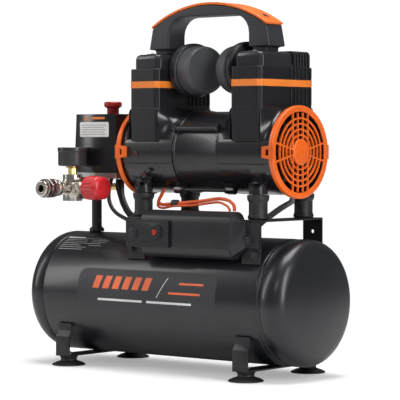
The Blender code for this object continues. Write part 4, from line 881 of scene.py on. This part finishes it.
rough = Socket(tree).make("ShaderNodeTexCoord", output="Object").noise(300.0)
(0.03 + rough * 0.05).feed(clear, "Roughness")
glass = [(tall - 1.9, 0), (tall - 1.9, wide - 2.1), (tall - 1.2, wide - 2.1), (tall - 1.2, 0)]
fit("gauge_lens", lathe(glass, middle, (0, 0, 1), 72), clear_lens)


# ---------------------------------------------------------------- quick coupler
# Socket turned in brass and plated, screwed into the regulator so that it points at the front. Pushing its
# knurled sleeve along lets the hose's plug go.

steel_plate = surface("coupler_plate", (0.34, 0.29, 0.27), 0.24, 1200.0, 0.00004, metallic=1.0)
follow("coupler_body", "turned", nickel, 0.4, 35)
low, high = corners("coupler_sleeve")
middle = Vector(((low.x + high.x) / 2, high.y, (low.z + high.z) / 2))
long, wide = high.y - low.y, (high.x - low.x) / 2
inside = middle + Vector((0, -long / 2, 0))
bore = (touch("coupler_sleeve", inside, (0, 0, 1)) - inside).length
sleeve = [(0, bore), (0, wide - 1.2), (0.8, wide - 0.2), (3, wide - 0.2), (3.6, wide - 0.8)]
sleeve += [(5.2, wide - 0.8), (5.8, wide), (9, wide), (13, wide), (13.6, wide - 0.7), (15, wide - 0.7)]
sleeve += [(15.6, wide - 0.1), (long - 0.8, wide - 0.1), (long, wide - 1), (long, bore)]
fit("coupler_sleeve_knurled", lathe(sleeve, middle, (0, -1, 0), 240, 40, 0.5, (5.7, 13.2)), steel_plate,
    ["coupler_sleeve"], body="coupler_sleeve")


# ---------------------------------------------------------------- valves
# Brass safety valve behind the switch, brass check valve where the pump's hose enters the tank, and a drain
# cock under the tank's back.

for node in ("safety_valve", "check_valve", "drain_valve"):
    follow(node, "turned", brass, 0.35, 35)
follow("drain_knob", "turned", brass, 0.4, 35, "drain_knob")
fit("safety_ring_bent", from_cad("safety_valve_ring"), bolt_steel, ["safety_valve_ring"],
    0.2, 60, body="safety_valve_ring")


# ---------------------------------------------------------------- cables and hose
# Braided delivery hose behind the right damper, jacketed cables from the switch to the box, and the motor's
# orange lead in a black clip.

def tube(points, radius, sides=14, steps=8):
    """Round cord run smoothly through points."""
    ends = [Vector(p) for p in (points[0], *points, points[-1])]
    path = []
    for a, b, c, d in zip(ends, ends[1:], ends[2:], ends[3:]):
        for i in range(steps):
            t = i / steps
            path.append(0.5 * (2 * b + (c - a) * t + (2 * a - 5 * b + 4 * c - d) * t ** 2
                               + (3 * b - a - 3 * c + d) * t ** 3))
    path.append(ends[-1])
    shape = bmesh.new()
    rings = []
    side = None
    for i, here in enumerate(path):
        ahead = (path[min(i + 1, len(path) - 1)] - path[max(i - 1, 0)]).normalized()
        side = ahead.orthogonal() if side is None else side - ahead * side.dot(ahead)
        side.normalize()
        other = ahead.cross(side)
        turns = [2 * math.pi * j / sides for j in range(sides)]
        spots = [here + (side * math.cos(turn) + other * math.sin(turn)) * radius for turn in turns]
        rings.append([shape.verts.new(spot) for spot in spots])
    for ring, following in zip(rings, rings[1:]):
        for j in range(sides):
            shape.faces.new((ring[j - 1], ring[j], following[j], following[j - 1]))
    shape.faces.new(rings[0][::-1])
    shape.faces.new(rings[-1])
    return shape


braid = surface("hose_braid", (0.2, 0.2, 0.21), 0.4, 1600.0, 0.0004, metallic=0.5, stretch=(1, 1, 2))
jacket = surface("cable_jacket", (0.014, 0.014, 0.015), 0.42, 1700.0, 0.00008)
orange_wire = surface("wire_orange", (0.7, 0.1, 0.02), 0.4, 1700.0, 0.00005)
for cord, finish, word, slot in (("delivery_hose", braid, "braided", "braided_hose"),
                                 ("switch_cable", jacket, "jacketed", "cable_jacket"),
                                 ("motor_lead", orange_wire, "sleeved", "orange_wire")):
    follow(cord, word, finish, 0, 60)
second_cable = [(-118, -14, 248), (-119, -18, 236), (-112, -26, 218), (-96, -31, 203), (-66, -34, 192)]
second_cable += [(-40, -40, 188), (-20, -46, 186), (-8, -52, 185), (-4, -56, 184)]
fit("second_cable", tube(second_cable, 2.6), jacket)
third_cable = [(-108, -4, 248), (-107, -6, 238), (-98, -14, 222), (-74, -27, 203), (-48, -34, 194)]
third_cable += [(-22, -42, 189), (-10, -50, 187), (-4, -54, 186)]
fit("third_cable", tube(third_cable, 3.0), jacket)
second_lead = [(-14, -32, 231), (-14, -37, 224), (-6, -50, 214.5), (10, -58, 212), (32, -62.5, 215)]
second_lead += [(60, -62.5, 216), (84, -62, 219), (104, -62, 221), (118, -64, 217.5), (124, -66, 214)]
second_lead.append((126, -66, 210.4))
fit("second_lead", tube(second_lead, 1.6), orange_wire)
clip_at = Vector((32, -60, 218.5))
clip = [(-5, 2.3), (-5, 4.4), (5, 4.4), (5, 2.3)]
fit("lead_clip", lathe(eased(clip, 0.8), clip_at, (1, 0, 0), 32), jacket)


# ---------------------------------------------------------------- floor, light and camera
# Plain pale studio floor that fades to white, and four soft rectangular lights: a broad one overhead, a tall
# one on the right, a narrow one on the left and a weak one in front. A long lens looks from the front right.

floor_mesh = bpy.data.meshes.new("studio_floor")
floor_mesh.from_pydata([(-20, -20, 0), (20, -20, 0), (20, 20, 0), (-20, 20, 0)], [], [(0, 1, 2, 3)])
floor = bpy.data.objects.new("studio_floor", floor_mesh)
floor.location.z = -0.0005
bpy.context.scene.collection.objects.link(floor)
paper = bpy.data.materials.new("studio_paper")
paper.use_nodes = True
tree = paper.node_tree
plain = tree.nodes["Principled BSDF"]
plain.inputs["Roughness"].default_value = 0.9
plain.inputs["Specular IOR Level"].default_value = 0.0
start = Socket(tree)
lit = Socket(tree, plain.outputs["BSDF"])
places = start.make("ShaderNodeTexCoord", output="Object")
places.noise(3.0).tint((0.8, 0.8, 0.8, 1), (0.82, 0.82, 0.82, 1)).feed(plain, "Base Color")
glow = start.make("ShaderNodeEmission", None, {"Strength": 0.34})
near_floor = start.make("ShaderNodeAddShader", None, {0: lit, 1: glow})
far_floor = start.make("ShaderNodeEmission", None, {"Strength": 1.05})
away = places.make("ShaderNodeVectorMath", {"operation": "LENGTH"}, {0: places}, "Value")
fade_from, fade_over = 0.34, 0.34
faded = ((away - fade_from) / fade_over).held()
shown = start.make("ShaderNodeMixShader", None, {0: faded, 1: near_floor, 2: far_floor})
camera_ray = start.make("ShaderNodeLightPath", output="Is Camera Ray")
seen = start.make("ShaderNodeMixShader", None, {0: camera_ray, 1: lit, 2: shown})
seen.feed(tree.nodes["Material Output"], "Surface")
floor_mesh.materials.append(paper)

world = bpy.data.worlds.new("studio")
bpy.context.scene.world = world
world.use_nodes = True
tree = world.node_tree
room = tree.nodes["Background"]
room.inputs["Color"].default_value = (1, 1, 1, 1)
room.inputs["Strength"].default_value = 0.13
start = Socket(tree)
backdrop = start.make("ShaderNodeBackground", None, {"Color": (1, 1, 1, 1), "Strength": 1.05})
camera_ray = start.make("ShaderNodeLightPath", output="Is Camera Ray")
around = {0: camera_ray, 1: Socket(tree, room.outputs["Background"]), 2: backdrop}
start.make("ShaderNodeMixShader", None, around).feed(tree.nodes["World Output"], "Surface")


def softbox(name, location, power, width, height):
    """Rectangular light that points at the middle of the machine."""
    light = bpy.data.lights.new(name, "AREA")
    light.shape = "RECTANGLE"
    light.size = width
    light.size_y = height
    light.energy = power
    lamp = bpy.data.objects.new(name, light)
    lamp.location = location
    lamp.rotation_euler = (Vector((0, 0, 0.2)) - Vector(location)).to_track_quat("-Z", "Y").to_euler()
    bpy.context.scene.collection.objects.link(lamp)


softbox("overhead", (0.1, 0.1, 1.7), 27, 1.3, 0.9)
softbox("right_window", (1.9, -0.5, 0.9), 20, 0.6, 1.5)
softbox("left_strip", (-1.5, -1.1, 1.0), 9, 0.35, 1.5)
softbox("front_fill", (1.0, -2.4, 1.7), 6, 1.0, 0.6)

optics = bpy.data.cameras.new("camera")
optics.lens = 186.3
optics.sensor_width = 36
optics.clip_end = 100
camera = bpy.data.objects.new("camera", optics)
target = Vector((0.0231, tank_axis.y, 0.221))
azimuth, pitch, distance = math.radians(39.5), math.radians(1.66), 2.69
away = Vector((math.sin(azimuth) * math.cos(pitch), -math.cos(azimuth) * math.cos(pitch), math.sin(pitch)))
camera.location = target + away * distance
camera.rotation_euler = (-away).to_track_quat("-Z", "Y").to_euler()
bpy.context.scene.collection.objects.link(camera)
bpy.context.scene.camera = camera
bpy.context.scene.view_settings.view_transform = "Standard"
